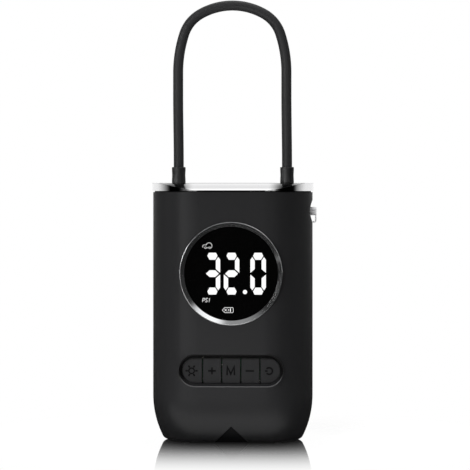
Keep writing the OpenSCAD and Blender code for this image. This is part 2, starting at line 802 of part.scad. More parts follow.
module crank_gear() color("#d8d6cc") translate([0, axis_y, crank_z]) difference() {
    across(gear_right - gear_w, gear_right) rotate(180/crank_teeth) gear_outline(crank_teeth, -shift);
    cyl_x(pin_r + 0.01, gear_right - 10, gear_right + 10);
    translate([0, 0, throw_r]) cyl_x(pin_r + 0.01, gear_right - 10, gear_right + 10);
    for (a = [-50, 50]) rotate([a, 0, 0]) translate([0, 0, 7]) cyl_x(2, gear_right - 10, gear_right + 10);
}

module crank_shaft() color("#c9ccd0") translate([0, axis_y, crank_z]) {
    cyl_x(pin_r, gear_right - gear_w + 0.4, frame_right + 0.1);
    cyl_x(pin_r + 1, frame_right + 0.1, frame_right + 0.9);
    cyl_x(pin_r + 1, gear_right, frame_left - 0.1);
}

module crank_pin() color("#c9ccd0") translate([0, axis_y, eye_z])
    cyl_x(pin_r, gear_right - gear_w - 0.7, gear_right - 0.4);

module crank_bearing() color("#b8bbc0") translate([0, axis_y, crank_z]) difference() {
    cyl_x(bearing_r, frame_left, frame_right);
    cyl_x(pin_r + run, frame_left - 1, frame_right + 1);
}

// Pump frame: an upright plate with a shelf for the cylinder and two ears for its screws
module pump_frame() color("#8b9096") difference() {
    union() {
        across(frame_left, frame_right) translate([axis_y - motor_r - 0.3, motor_z - motor_r + 1.2])
            square([2*motor_r + 0.6, seat_z - motor_z + motor_r - 1.2]);
        at_pump() {
            cyl_z(fin_r + 0.2, shelf_z, seat_z);
            bolt_lugs(shelf_z, seat_z);
        }
        translate([rod_x, axis_y - fin_r - 0.2, shelf_z]) cube([frame_right + 8 - rod_x, 2*fin_r + 0.4, shelf_t]);
        for (side = [-1, 1]) facing(axis_y + side*(fin_r - 1.3) - 1.5, axis_y + side*(fin_r - 1.3) + 1.5)
            polygon([[frame_right - 1, shelf_z - 10], [frame_right + 8, shelf_z], [frame_right - 1, shelf_z]]);
        translate([ears[0][0], 0, ears[0][1]]) cyl_y(boss_r, axis_y + 7, ear_back);
        translate([ears[1][0], 0, ears[1][1]]) cyl_y(boss_r, axis_y + 6.5, ear_back);
        translate([ears[1][0], axis_y + 6.5, ears[1][1] - 2.4]) cube([frame_left - ears[1][0] + 1, 6, 4.8]);
    }
    translate([0, axis_y, motor_z]) {
        cyl_x(motor_boss_r, frame_left - 1, frame_right + 1);
        for (side = [-1, 1]) translate([0, side*motor_screw_off, 0]) cyl_x(screw_r + 0.1, frame_left - 1, frame_right + 1);
    }
    translate([0, axis_y, crank_z]) cyl_x(bearing_r + 0.02, frame_left - 1, frame_right + 1);
    at_pump() {
        cyl_z(barrel_r + 0.05, shelf_z - 1, seat_z + 1);
        bolt_holes(shelf_z - 1, seat_z + 1);
    }
    for (e = ears) translate([e[0], 0, e[1]]) cyl_y(screw_r + 0.1, -body_d, body_d);
}

module frame_screws() color("#9a9da1") for (i = [0, 1])
    translate([ears[i][0], axis_y + (i == 0 ? 7 : 6.5), ears[i][1]]) rotate([-90, 0, 0]) screw(ear_back - axis_y - 4.5);

// Crank mechanism
module connecting_rod() color("#9fb0c0") translate([0, axis_y, eye_z]) difference() {
    across(rod_x - rod_t/2, rod_x + rod_t/2) {
        circle(big_eye);
        translate([0, rod_l]) circle(small_eye);
        polygon([[-2.6, 0], [2.6, 0], [2, rod_l], [-2, rod_l]]);
    }
    cyl_x(bush_r + 0.01, rod_x - 5, rod_x + 5);
    translate([0, 0, rod_l]) cyl_x(pin_r + run, rod_x - 5, rod_x + 5);
}

module rod_bush() color("#c8a24a") translate([0, axis_y, eye_z]) difference() {
    cyl_x(bush_r, rod_x - rod_t/2, rod_x + rod_t/2);
    cyl_x(pin_r + run, rod_x - 5, rod_x + 5);
}

module piston() color("#cfd2d6") at_pump() difference() {
    union() {
        ring_z(bore_r - 0.06, bore_r - 1.9, wrist_z - skirt, crown_z);
        cyl_z(bore_r - 1, crown_z - 1.8, crown_z);
        intersection() {
            cyl_z(bore_r - 1, wrist_z - skirt, crown_z);
            translate([0, 0, wrist_z]) cyl_x(pin_r + 1.1, -bore_r, bore_r);
        }
    }
    translate([-rod_t/2 - 0.3, 2.5 - bore_r, wrist_z - skirt - 1])
        cube([rod_t + 0.6, 2*bore_r - 5, crown_z - 1.8 - wrist_z + skirt + 1]);
    translate([0, 0, wrist_z]) cyl_x(pin_r + 0.01, -bore_r - 1, bore_r + 1);
    ring_z(bore_r + 1, bore_r - 1.2, crown_z - 1.5, crown_z - 0.4);
}

module piston_seal() color(cover_black) at_pump() ring_z(bore_r - 0.03, bore_r - 1.15, crown_z - 1.45, crown_z - 0.45);

module wrist_pin() color("#c9ccd0") translate([rod_x, axis_y, wrist_z]) cyl_x(pin_r, -bore_r + 0.7, bore_r - 0.7);

module cylinder_fins() {
    fins = 4;
    gap = (cylinder_top - seat_z - flange_t)/(fins + 1);
    for (i = [1:fins]) cyl_z(fin_r, seat_z + i*gap, seat_z + i*gap + 1.1);
    cyl_z(fin_r, seat_z, seat_z + flange_t);
    cyl_z(fin_r, cylinder_top - flange_t, cylinder_top);
}

module cylinder_barrel() difference() {
    union() {
        cyl_z(barrel_r, shelf_z + 0.2, cylinder_top);
        cylinder_fins();
        bolt_lugs(seat_z, seat_z + flange_t);
        bolt_lugs(cylinder_top - flange_t, cylinder_top);
    }
    cyl_z(bore_r, shelf_z - 1, cylinder_top + 1);
    bolt_holes(shelf_z, cylinder_top + 1);
}

module cylinder_block() color("#b4b8bd") at_pump() cylinder_barrel();

module head_gasket() color("#6b5c48") at_pump() difference() {
    union() {
        cyl_z(fin_r, cylinder_top, cylinder_top + gasket_t);
        bolt_lugs(cylinder_top, cylinder_top + gasket_t);
    }
    cyl_z(bore_r, cylinder_top - 1, cylinder_top + 1);
    bolt_holes(cylinder_top - 1, cylinder_top + 1);
}

module valve_plate() {
    low = cylinder_top + gasket_t;
    color("#c9ccd0") at_pump() difference() {
        union() {
            cyl_z(fin_r, low, head_z);
            bolt_lugs(low, head_z);
        }
        for (side = [-1, 1]) translate([0, side*3.5, 0]) cyl_z(1, low - 1, head_z + 1);
        bolt_holes(low - 1, head_z + 1);
    }
    color("#8b8f96") at_pump() {
        translate([-1.5, 1.5, head_z]) cube([3, 5, 0.2]);
        translate([-1.5, -6.5, low - 0.2]) cube([3, 5, 0.2]);
    }
}

module cylinder_head() color("#b4b8bd") difference() {
    at_pump() difference() {
        union() {
            cyl_z(fin_r, head_z, head_top);
            bolt_lugs(head_z, head_top);
        }
        cyl_z(bore_r - 1, head_z - 1, head_top - 1.6);
        bolt_holes(head_z - 1, head_top + 1);
        translate([0, 0, head_z + 2]) rotate([0, 0, -45]) cyl_x(1.02, 0, fin_r + 1);
    }
    translate([-port_x, 0, 0]) cyl_z(2.02, head_z + 1, head_top + 1);
}

module head_bolts() color("#9a9da1") at_pump() for (a = bolt_angles) rotate([0, 0, a]) translate([bolt_ring, 0, 0]) {
    cyl_z(bolt_r, shelf_z, head_top + 0.01);
    cyl_z(bolt_r + 0.8, head_top, head_top + bolt_head);
}

module outlet_nipple() color("#c8a24a") translate([-port_x, 0, 0]) difference() {
    union() {
        cyl_z(2, head_top - 1.5, head_top);
        translate([0, 0, head_top]) cylinder(h = hex_t, r = 3.7, $fn = 6);
        cyl_z(stem_r, head_top, hose_z - 0.1);
        cyl_z(barb_r, head_top, barb_top);
    }
    cyl_z(air_r, head_top - 2, barb_top + 1);
}

module pressure_sensor() color("#e6e4dc") at_pump() rotate([0, 0, -45]) translate([0, 0, head_z + 2]) {
    cyl_x(1, fin_r - 1.2, fin_r + 0.5);
    translate([fin_r + 0.5, -3, -2]) cube([2.5, 6, 4]);
}

// Stowage tube and chuck
module stow_tube() color(cover_black) translate([port_x, 0, 0]) difference() {
    union() {
        cyl_z(stow_out, stow_z - 1.5, top_z - 0.1);
        cyl_z(stow_out + 1.6, deck_z - 1, deck_z);
    }
    cyl_z(stow_r, stow_z, top_z + 1);
}

// Hose
module hose_ring(inset) difference() {
    circle(hose_r - inset);
    circle(hose_bore/2 + inset);
}

module arc(r, a) rotate([90, 0, 0]) rotate_extrude(angle = a) translate([r, 0]) hose_ring(0);

// An arc that ends a hair early, and a core that carries the hose across to the next piece
module bend(r, a) {
    arc(r, a - hair/r*180/PI);
    rotate([0, -a, 0]) translate([r, 0, 0]) core();
}

module core() translate([0, 0, -15*hair]) linear_extrude(30*hair) hose_ring(1.5*hair);

module hose() color("#1a1a1b") {
    for (side = [0, 1]) mirror([side, 0, 0]) translate([port_x, 0, 0]) {
        translate([0, 0, hose_z]) linear_extrude(leg_z - hose_z - hair) hose_ring(0);
        translate([0, 0, leg_z]) core();
        translate([-side_r, 0, leg_z]) {
            bend(side_r, side_a);
            rotate([0, -side_a, 0]) translate([side_r - shoulder_r, 0, 0]) bend(shoulder_r, shoulder_a);
        }
    }
    crown_dz = (side_r - shoulder_r)*sin(side_a) + (shoulder_r - crown_hose_r)*cos(crown_a);
    translate([0, 0, leg_z + crown_dz]) rotate([0, crown_a - 90, 0]) arc(crown_hose_r, 2*crown_a);
}

module collar(side) color("#1a1a1b") translate([side*port_x, 0, 0])
    ring_z(collar_r, hose_r + 0.02, crest_z + 0.1, crest_z + 0.1 + collar_l);

module fixed_collar() collar(-1);

module chuck_collar() collar(1);

module chuck_stem() color("#c8a24a") translate([port_x, 0, 0]) difference() {
    union() {
        cyl_z(valve_r - 0.15, stem_foot - flange_h, stem_foot);
        cyl_z(stem_r, stem_foot - flange_h, hose_z - 0.1);
        cyl_z(barb_r, stem_foot, barb_top);
        cyl_z(1.4, stem_foot - flange_h - seal_h, stem_foot);
        cyl_z(0.6, stem_foot - flange_h - seal_h - 1.5, stem_foot);
    }
    cyl_z(air_r, stem_foot - 0.6, barb_top + 1);
    cyl_z(0.9, stem_foot - 0.9, stem_foot - 0.1);
    for (a = [0, 120, 240]) rotate([0, 0, a]) translate([1.15, 0, 0])
        cyl_z(0.45, stem_foot - flange_h - seal_h - 1, stem_foot - 0.4);
}

module chuck_grip() color(cover_black) translate([port_x, 0, 0]) difference() {
    cyl_z(grip_r, grip_z, crest_z - 0.1);
    cyl_z(stem_r + 0.01, grip_z - 1, crest_z + 1);
    for (i = [0:23]) rotate([0, 0, i*15]) translate([grip_r, 0, 0]) cyl_z(0.3, grip_z + 1, crest_z - 1.5);
}

module chuck_nut() color("#c8a24a") translate([port_x, 0, 0]) difference() {
    cyl_z(nut_r, nut_z, nut_top);
    cyl_z(valve_r, nut_z - 1, nut_z + thread_l + 0.01);
    cyl_z(relief_r, nut_z + thread_l, nut_top - nut_roof);
    cyl_z(stem_r + 0.05, nut_z, nut_top + 1);
    for (i = [0:23]) rotate([0, 0, i*15]) translate([nut_r, 0, 0]) cyl_z(0.3, nut_z + 1.5, nut_top - 6);
}

module chuck_seal() color("#7a2f22") translate([port_x, 0, 0])
    ring_z(valve_r - 0.2, 1.42, stem_foot - flange_h - seal_h, stem_foot - flange_h);

// Eyelet: a post through the shell, a flat bar and its return leg, and a clip inside the wall
module eyelet() color(polished) translate([0, 0, eyelet_z]) {
    bar_x = side_x + eyelet_out;
    cyl_x(eyelet_r, side_x - wall - eyelet_in, bar_x);
    across(bar_x - eyelet_t, bar_x) {
        circle(2.5);
        translate([-2.5, -eyelet_drop]) square([5, eyelet_drop]);
    }
    translate([side_x + 0.1, -2, -eyelet_drop]) cube([eyelet_out - 0.1, 4, eyelet_t]);
    difference() {
        cyl_x(eyelet_r + 1.2, side_x - wall - eyelet_in + 0.3, side_x - wall - 1.1);
        cyl_x(eyelet_r + 0.01, side_x - wall - 3, side_x);
    }
}

// Screws of the shells, of the base cover and of the metal plate
module case_screws() color("#9a9da1") {
    for (p = case_points) translate([p[0], case_seat, p[1]]) rotate([90, 0, 0]) screw(case_screw_l);
    at_base_screws() translate([0, 0, foot_gap + screw_head_h + 0.2]) screw(7);
    for (p = plate_screws) translate([p[0], p[1], deck_z]) screw(deck_t + joint_t + 2);
}

front_shell();
rear_shell();
base_cover();
foot_pad();
top_deck();
top_plate();
display_bezel();
display_window();
display_gasket();
display_module();
key_lamp();
key_plus();
key_mode();
key_minus();
key_power();
key_switches();
main_board();
board_screws();
charge_board();
charge_socket();
cells();
cell_cradle();
cell_tabs();
motor_can();
motor_magnets();
motor_cap();
motor_screws();
rotor();
motor_shaft();
drive_pinion();
pump_frame();
frame_screws();
crank_bearing();
crank_gear();
crank_shaft();
crank_pin();
connecting_rod();
rod_bush();
piston();
piston_seal();
wrist_pin();
cylinder_block();  // cylinder
head_gasket();
valve_plate();
cylinder_head();
head_bolts();
outlet_nipple();
pressure_sensor();
stow_tube();
hose();
fixed_collar();
chuck_collar();
chuck_stem();
chuck_grip();
chuck_nut();
chuck_seal();
eyelet();
lamp_lens();
lamp_board();
case_screws();
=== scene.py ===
import json
import math
import bmesh
import bpy
import numpy as np
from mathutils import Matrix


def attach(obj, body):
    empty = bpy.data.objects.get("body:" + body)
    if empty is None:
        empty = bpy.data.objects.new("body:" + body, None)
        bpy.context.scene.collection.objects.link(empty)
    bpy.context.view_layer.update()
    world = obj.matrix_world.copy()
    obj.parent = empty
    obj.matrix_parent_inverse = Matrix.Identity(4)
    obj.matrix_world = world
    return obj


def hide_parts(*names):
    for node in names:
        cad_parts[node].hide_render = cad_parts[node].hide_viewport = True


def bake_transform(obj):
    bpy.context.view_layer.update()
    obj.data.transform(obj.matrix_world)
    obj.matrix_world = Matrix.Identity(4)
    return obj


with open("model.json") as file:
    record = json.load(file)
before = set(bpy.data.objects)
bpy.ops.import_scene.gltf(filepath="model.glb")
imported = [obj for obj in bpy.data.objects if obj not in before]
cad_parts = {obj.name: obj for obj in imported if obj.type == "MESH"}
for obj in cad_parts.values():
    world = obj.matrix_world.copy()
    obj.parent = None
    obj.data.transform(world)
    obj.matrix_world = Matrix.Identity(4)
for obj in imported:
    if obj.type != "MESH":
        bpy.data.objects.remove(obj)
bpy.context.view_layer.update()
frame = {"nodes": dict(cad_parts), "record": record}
cadNodes = frame["nodes"]
mm = 0.001
print("frame loaded:", len(cadNodes), "nodes")

# the camera, level with the lower edge of the metal top
camera = {
    "distance": 1.0,        # metres from the housing's axis
    "azimuth": 2.2,         # degrees towards +X
    "eyeHeight": 0.119,
    "focalPixels": 2083.3,  # focal length in pixels of a 470-pixel frame
    "framePixels": 470,
    "horizonRow": 191.0,
    "axisColumn": 232.85,
    "sensorWidth": 36,
    "clip": (0.05, 50),
}


def makeCamera(c):
    # place = distance * (sin azimuth, -cos azimuth), held level; the shift puts the horizon and the axis on
    # their row and column
    turn = math.radians(c["azimuth"])
    data = bpy.data.cameras.new("camera")
    data.sensor_width = c["sensorWidth"]
    data.lens = c["sensorWidth"] * c["focalPixels"] / c["framePixels"]
    data.shift_x = 0.5 - c["axisColumn"] / c["framePixels"]
    data.shift_y = c["horizonRow"] / c["framePixels"] - 0.5
    data.clip_start, data.clip_end = c["clip"]
    view = bpy.data.objects.new("camera", data)
    view.location = (c["distance"] * math.sin(turn), -c["distance"] * math.cos(turn), c["eyeHeight"])
    view.rotation_euler = (math.pi / 2, 0, turn)
    bpy.context.scene.collection.objects.link(view)
    bpy.context.scene.camera = view


makeCamera(camera)
print("camera set")

joining = {"same": 1e-6, "shortest": 1e-7}      # metres: points this near are one, and shorter edges go


def makePiece(name, parts, sharpFrom=None, weld=False):
    # parts is a list of (points, faces) in millimetres; their faces are numbered on from each other and
    # turned outwards. with sharpFrom the piece is shaded smooth, but for edges of that many degrees
    points = np.concatenate([p for p, f in parts])
    starts = np.cumsum([0] + [len(p) for p, f in parts])
    faces = [[i + s for i in face] for (p, f), s in zip(parts, starts) for face in f]
    mesh = bpy.data.meshes.new(name)
    mesh.from_pydata((points * mm).tolist(), [], faces)
    work = bmesh.new()
    work.from_mesh(mesh)
    if weld:
        bmesh.ops.remove_doubles(work, verts=work.verts, dist=joining["same"])
        bmesh.ops.dissolve_degenerate(work, edges=work.edges, dist=joining["shortest"])
    bmesh.ops.recalc_face_normals(work, faces=work.faces)
    work.to_mesh(mesh)
    work.free()
    piece = bpy.data.objects.new(name, mesh)
    bpy.context.scene.collection.objects.link(piece)
    if sharpFrom:
        mesh.shade_smooth()
        mesh.set_sharp_from_angle(angle=math.radians(sharpFrom))
        flatten = piece.modifiers.new("evenShading", "WEIGHTED_NORMAL")
        flatten.keep_sharp = True
    return piece


def setFinish(piece, material):
    # in every slot that the piece has, or else in a first one
    if piece.material_slots:
        for s in piece.material_slots:
            s.material = material
    else:
        piece.data.materials.append(material)


def meshValues(items, name, size=1):
    # one property of all of a mesh's points, corners or faces: whole numbers, or a row of size numbers each
    values = np.zeros(len(items) * size, float if size > 1 else int)
    items.foreach_get(name, values)
    return values.reshape(-1, size) if size > 1 else values


def columns(*values):
    # arrays side by side as the columns of one, a single number repeated all the way down
    return np.column_stack(np.broadcast_arrays(*values))


def skin(rows, closeAlong=False):
    # quads over an array of points [row, column, 3]; each row closes on itself, and the last row may join
    # the first
    n, m = rows.shape[:2]
    i, j = np.meshgrid(np.arange(n if closeAlong else n - 1), np.arange(m), indexing="ij")
    a, b = (i + 1) % n, (j + 1) % m
    quads = np.stack([i * m + j, i * m + b, a * m + b, a * m + j], axis=-1).reshape(-1, 4)
    return rows.reshape(-1, 3), quads.tolist()


def turned(profile, count, place):
    # profile of (radius, height) carried round: point = place(radius * cos a, radius * sin a, height)
    profile = np.asarray(profile, float)
    a = np.linspace(0, 2 * math.pi, count, endpoint=False)
    u = profile[:, :1] * np.cos(a)
    v = profile[:, :1] * np.sin(a)
    w = np.broadcast_to(profile[:, 1:], u.shape)
    return skin(np.stack(place(u, v, w), axis=-1), closeAlong=True)


def rounded(corner, start, end, radius, count):
    # a corner of a profile as an arc: from corner - radius * start to corner + radius * end, where start and
    # end are the directions in and out
    corner, start, end = (np.asarray(v, float) for v in (corner, start, end))
    t = np.linspace(0, math.pi / 2, count)[:, None]
    centre = corner - radius * start + radius * end
    return centre - radius * end * np.cos(t) + radius * start * np.sin(t)


def arc(centre, radius, fromAngle, toAngle, count):
    # points at centre + radius * (cos a, sin a) for angles in degrees
    a = np.radians(np.linspace(fromAngle, toAngle, count))
    return columns(centre[0] + radius * np.cos(a), centre[1] + radius * np.sin(a))


def standing(flat, depth):
    # a flat (x, z) outline stands at y = depth
    flat = np.asarray(flat, float)
    return columns(flat[:, 0], depth, flat[:, 1])


def prism(outline, front, back):
    # a convex outline carried straight from y = front to y = back, closed at both ends
    n = len(outline)
    points = np.concatenate([standing(outline, front), standing(outline, back)])
    i = np.arange(n)
    j = (i + 1) % n
    sides = columns(i, j, j + n, i + n).tolist()
    return points, [i.tolist(), (i[::-1] + n).tolist()] + sides


def ribbon(path, width, front, back, closed=False):
    # at each point of the path, left and right = point +- mitre * normal * width / 2, where the mitre is
    # 1 / cos(half the bend), kept short at a sharp turn
    leastCosine = 0.35
    p = np.asarray(path, float)
    step = np.diff(np.vstack([p, p[:1]]) if closed else p, axis=0)
    step /= np.linalg.norm(step, axis=1)[:, None]
    before = np.roll(step, 1, axis=0) if closed else np.vstack([step[:1], step])
    after = step if closed else np.vstack([step, step[-1:]])
    mid = before + after
    mid /= np.linalg.norm(mid, axis=1)[:, None]
    mitre = 1 / np.maximum(np.sum(mid * after, axis=1), leastCosine)
    side = columns(-mid[:, 1], mid[:, 0]) * (mitre * width / 2)[:, None]
    left, right = p + side, p - side
    corners = [standing(left, front), standing(right, front), standing(right, back), standing(left, back)]
    points = np.stack(corners, axis=1).reshape(-1, 3)
    n = len(p)
    a = np.arange(n if closed else n - 1)[:, None] * 4
    b = (a + 4) % (4 * n)
    i = np.arange(4)
    j = (i + 1) % 4
    quads = np.stack([a + i, b + i, b + j, a + j], axis=-1).reshape(-1, 4).tolist()
    ends = [] if closed else [[0, 1, 2, 3], [4 * n - 1, 4 * n - 2, 4 * n - 3, 4 * n - 4]]
    return points, quads + ends


def inset(outline, distance):
    # a convex outline drawn in: point + distance * (n1 + n2) / (1 + n1 . n2), n1 and n2 the inward normals
    # of its two edges
    p = np.asarray(outline, float)
    edge = np.roll(p, -1, axis=0) - p
    edge /= np.linalg.norm(edge, axis=1)[:, None]
    area = np.sum(p[:, 0] * np.roll(p[:, 1], -1) - np.roll(p[:, 0], -1) * p[:, 1])
    normal = columns(-edge[:, 1], edge[:, 0]) * (1 if area > 0 else -1)
    before = np.roll(normal, 1, axis=0)
    return p + distance * (before + normal) / (1 + np.sum(before * normal, axis=1))[:, None]


class Field:
    # one number over the surface; each operator adds its Math node
    def __init__(self, paint, socket):
        self.paint, self.socket = paint, socket

    def work(self, operation, *others):
        sockets = dict(enumerate((self, *others)))
        return Field(self.paint, self.paint.node("Math", {"operation": operation}, sockets).outputs[0])

    def turn(self, operation, first):
        # the same with the other value first
        sockets = {0: first, 1: self}
        return Field(self.paint, self.paint.node("Math", {"operation": operation}, sockets).outputs[0])

    def __add__(self, other): return self.work("ADD", other)
    def __radd__(self, other): return self.turn("ADD", other)
    def __sub__(self, other): return self.work("SUBTRACT", other)
    def __rsub__(self, other): return self.turn("SUBTRACT", other)
    def __mul__(self, other): return self.work("MULTIPLY", other)
    def __rmul__(self, other): return self.turn("MULTIPLY", other)
    def __truediv__(self, other): return self.work("DIVIDE", other)
    def __rtruediv__(self, other): return self.turn("DIVIDE", other)

    def step(self, low, high):
        # 0 below low and 1 above high, smooth between them
        sockets = {"Value": self, "From Min": low, "From Max": high}
        made = self.paint.node("MapRange", {"interpolation_type": "SMOOTHSTEP"}, sockets)
        return Field(self.paint, made.outputs[0])

    def between(self, rise, fall):
        # rises from 0 to 1 over the first pair of limits and falls back over the second
        return self.step(*rise) * (1 - self.step(*fall))


class Paint:
    # the nodes of a material or a world, and the one method that adds a node to them
    def __init__(self, owner):
        self.owner = owner
        owner.use_nodes = True
        self.tree = owner.node_tree
        self.tree.nodes.clear()

    def node(self, kind, settings=None, sockets=None):
        made = self.tree.nodes.new("ShaderNode" + kind)
        for name, value in (settings or {}).items():
            setattr(made, name, value)
        for name, value in (sockets or {}).items():
            socket = made.inputs[name]
            if isinstance(value, Field):
                self.tree.links.new(value.socket, socket)
            elif isinstance(value, bpy.types.NodeSocket):
                self.tree.links.new(value, socket)
            else:
                socket.default_value = value
        return made

    def place(self, stretch=(1, 1, 1), kind="Object"):
        # where on the piece, in metres, stretched along each axis
        at = self.node("TexCoord").outputs[kind]
        return self.node("Mapping", {}, {"Vector": at, "Scale": stretch}).outputs[0]

    def axes(self, kind="Object"):
        # x, y and z, each by itself
        parts = self.node("SeparateXYZ", {}, {"Vector": self.node("TexCoord").outputs[kind]})
        return [Field(self, parts.outputs[i]) for i in range(3)]

    def noise(self, scale, detail=3, rough=0.5, stretch=(1, 1, 1), kind="Object"):
        # soft blotches, scale of them to a metre
        sockets = {"Vector": self.place(stretch, kind), "Scale": scale, "Detail": detail, "Roughness": rough}
        return Field(self, self.node("TexNoise", {}, sockets).outputs[0])

    def cells(self, scale):
        # distance to the nearest of scattered points, scale of them to a metre
        return Field(self, self.node("TexVoronoi", {}, {"Vector": self.place(), "Scale": scale}).outputs["Distance"])

    def bands(self, scale, direction, warp):
        # waves across the direction, bent by warp
        sockets = {"Vector": self.place(), "Scale": scale, "Distortion": warp}
        return Field(self, self.node("TexWave", {"bands_direction": direction}, sockets).outputs["Fac"])

    def mix(self, factor, first, second):
        # colour = first * (1 - factor) + second * factor; the node's sockets 6 and 7 are its two colours
        first, second = (c if isinstance(c, bpy.types.NodeSocket) else (*c, 1) for c in (first, second))
        return self.node("Mix", {"data_type": "RGBA"}, {0: factor, 6: first, 7: second}).outputs[2]

    def relief(self, height, distance):
        return self.node("Bump", {}, {"Height": height, "Distance": distance, "Strength": 1}).outputs[0]

    def light(self, strength, kind="Emission"):
        # plain white light on a surface, or with Background in the world
        return self.node(kind, {}, {"Color": (1, 1, 1, 1), "Strength": strength}).outputs[0]

    def either(self, factor, first, second):
        # shader = first * (1 - factor) + second * factor
        return self.node("MixShader", {}, {0: factor, 1: first, 2: second}).outputs[0]

    def surface(self, **sockets):
        # the shader itself; names such as baseColor stand for sockets such as Base Color
        names = {"baseColor": "Base Color", "roughness": "Roughness", "metallic": "Metallic", "normal": "Normal",
                 "specular": "Specular IOR Level", "ior": "IOR", "transmission": "Transmission Weight",
                 "glow": "Emission Color", "glowStrength": "Emission Strength"}
        made = self.node("BsdfPrincipled", {}, {names[k]: v for k, v in sockets.items()})
        self.node("OutputMaterial", {}, {"Surface": made.outputs[0]})
        return self.owner


def newPaint(name):
    return Paint(bpy.data.materials.new(name))


def tone(red, green, blue):
    # display values 0 to 255 to linear light: a straight line up to 10.3, a power of 2.4 above
    return tuple(c / 3294.6 if c < 10.3 else ((c / 255 + 0.055) / 1.055) ** 2.4 for c in (red, green, blue))


def mouldedPlastic(name, light, dark, roughness, specular, grain, depth, shade=None):
    # colour = dark..light by soft blotches; roughness = roughness +- spread; height = round moulding grain
    # of that many cells a metre
    p = newPaint(name)
    spread = 0.08
    blotch = p.noise(35, 4)
    fine = p.noise(grain, 2, 0.6)
    pits = p.cells(grain * 0.7)
    colour = p.mix(blotch * 0.6 + fine * 0.4, dark, light)
    # painted shadow: where shade is 0 the colour turns near black
    if shade:
        colour = p.mix(shade(p), tone(9, 9, 9), colour)
    return p.surface(baseColor=colour, roughness=roughness + (fine - 0.5) * spread + (blotch - 0.5) * spread,
                     specular=specular, normal=p.relief(fine * 0.6 + pits * 0.4, depth))


def polishedMetal(name, light, dark, roughness, spread, stretch, depth, shade=None, metallic=1.0):
    # fine polishing lines: noise drawn out along the axis with the smallest stretch, in colour, roughness
    # and height
    p = newPaint(name)
    lines = p.noise(900, 3, 0.6, stretch)
    cloud = p.noise(45)
    colour = p.mix(cloud * 0.5 + lines * 0.5, dark, light)
    # painted reflection: where shade is 0 the colour turns near black, standing in for dark things mirrored in the
    # metal
    if shade:
        colour = p.mix(shade(p), (0.004, 0.004, 0.004), colour)
    return p.surface(baseColor=colour, metallic=metallic, normal=p.relief(lines, depth),
                     roughness=roughness + (lines - 0.5) * spread + (cloud - 0.5) * spread)


def castMetal(name, light, dark, roughness, grain, depth, metallic=1.0):
    # rough cast skin: cells and noise together, darker in the low places
    p = newPaint(name)
    crust = p.noise(grain, 5, 0.65) * 0.6 + p.cells(grain * 0.8) * 0.4
    return p.surface(baseColor=p.mix(crust.step(0.25, 0.75), dark, light), metallic=metallic,
                     roughness=roughness + (crust - 0.5) * 0.25, normal=p.relief(crust, depth))


def softRubber(name, light, dark, roughness, specular, grain, depth):
    # matt rubber: fine matt speckle, and a faint bloom of lighter patches
    p = newPaint(name)
    speck = p.noise(grain, 4, 0.7)
    bloom = p.noise(60).step(0.35, 0.8)
    return p.surface(baseColor=p.mix(bloom * 0.5 + speck * 0.5, dark, light), specular=specular,
                     roughness=roughness + (speck - 0.5) * 0.15, normal=p.relief(speck, depth))


def glossBlack(name, light, dark, roughness, ior, grain, depth):
    # gloss that breaks up in a fine grain; height = grain * depth
    p = newPaint(name)
    fine = p.noise(grain)
    cloud = p.noise(140, 2)
    return p.surface(baseColor=p.mix(cloud, dark, light), ior=ior, normal=p.relief(fine, depth),
                     roughness=roughness + (cloud - 0.5) * 0.03 + (fine - 0.5) * 0.03)


def hoseSkin(name, light, dark, roughness, specular):
    # UV: u runs round the hose, v along it in metres; extrusion lines run along it over a matt speckle
    p = newPaint(name)
    lines = p.noise(1.0, 3, 0.6, (34, 6, 1), "UV")
    speck = p.noise(1.0, 3, 0.7, (60, 1600, 1), "UV")
    height = lines * 0.7 + speck * 0.3
    return p.surface(baseColor=p.mix(height.step(0.2, 0.8), dark, light), specular=specular,
                     roughness=roughness + (speck - 0.5) * 0.16 + (lines - 0.5) * 0.08,
                     normal=p.relief(height, 0.00003))


def circuitBoard(name):
    # solder mask, lighter where tracks of two directions run under it, with round pads of tin
    p = newPaint(name)
    across = p.bands(260, "X", 1.5).step(0.7, 0.85)
    along = p.bands(220, "Z", 1.5).step(0.72, 0.86)
    where = p.noise(90, 1).step(0.45, 0.55)
    track = across * where + along * (1 - where)
    pads = 1 - p.cells(330).step(0.16, 0.2)
    mask = p.mix(track, tone(16, 62, 38), tone(38, 104, 66))
    return p.surface(baseColor=p.mix(pads, mask, tone(190, 188, 180)), metallic=pads * 0.9,
                     roughness=0.32 + (p.noise(700) - 0.5) * 0.12 - pads * 0.05,
                     normal=p.relief(track * 0.5 + pads * 0.5, 0.00004))


def woundWire(name):
    # enamelled copper: turns are bands round the rotor, with a painted highlight, lighter on each wire's back
    p = newPaint(name)
    turns = p.bands(430, "X", 0.4)
    cloud = p.noise(120)
    return p.surface(baseColor=p.mix(turns * 0.7 + cloud * 0.3, tone(96, 46, 24), tone(206, 128, 78)), metallic=0.85,
                     roughness=0.3 + (cloud - 0.5) * 0.2, normal=p.relief(turns, 0.00012))


def cellWrap(name):
    # shrink sleeve: shallow ripples round the cell, glossy, a little paler on the ripples
    p = newPaint(name)
    ripple = p.noise(160, 4, 0.6, (1, 0.3, 0.3))
    return p.surface(baseColor=p.mix(ripple, tone(20, 92, 118), tone(40, 132, 160)), specular=0.5,
                     roughness=0.24 + (p.noise(500) - 0.5) * 0.14, normal=p.relief(ripple, 0.00008))


def darkGlass(name):
    # a black window: very smooth, with faint wiping marks in its gloss
    p = newPaint(name)
    wipe = p.noise(55, 5, 0.6, (1, 1, 0.35))
    return p.surface(baseColor=p.mix(wipe, tone(1, 1, 1), tone(3, 3, 3)), specular=0.4,
                     roughness=0.035 + (wipe - 0.5) * 0.03, normal=p.relief(wipe, 0.000003))


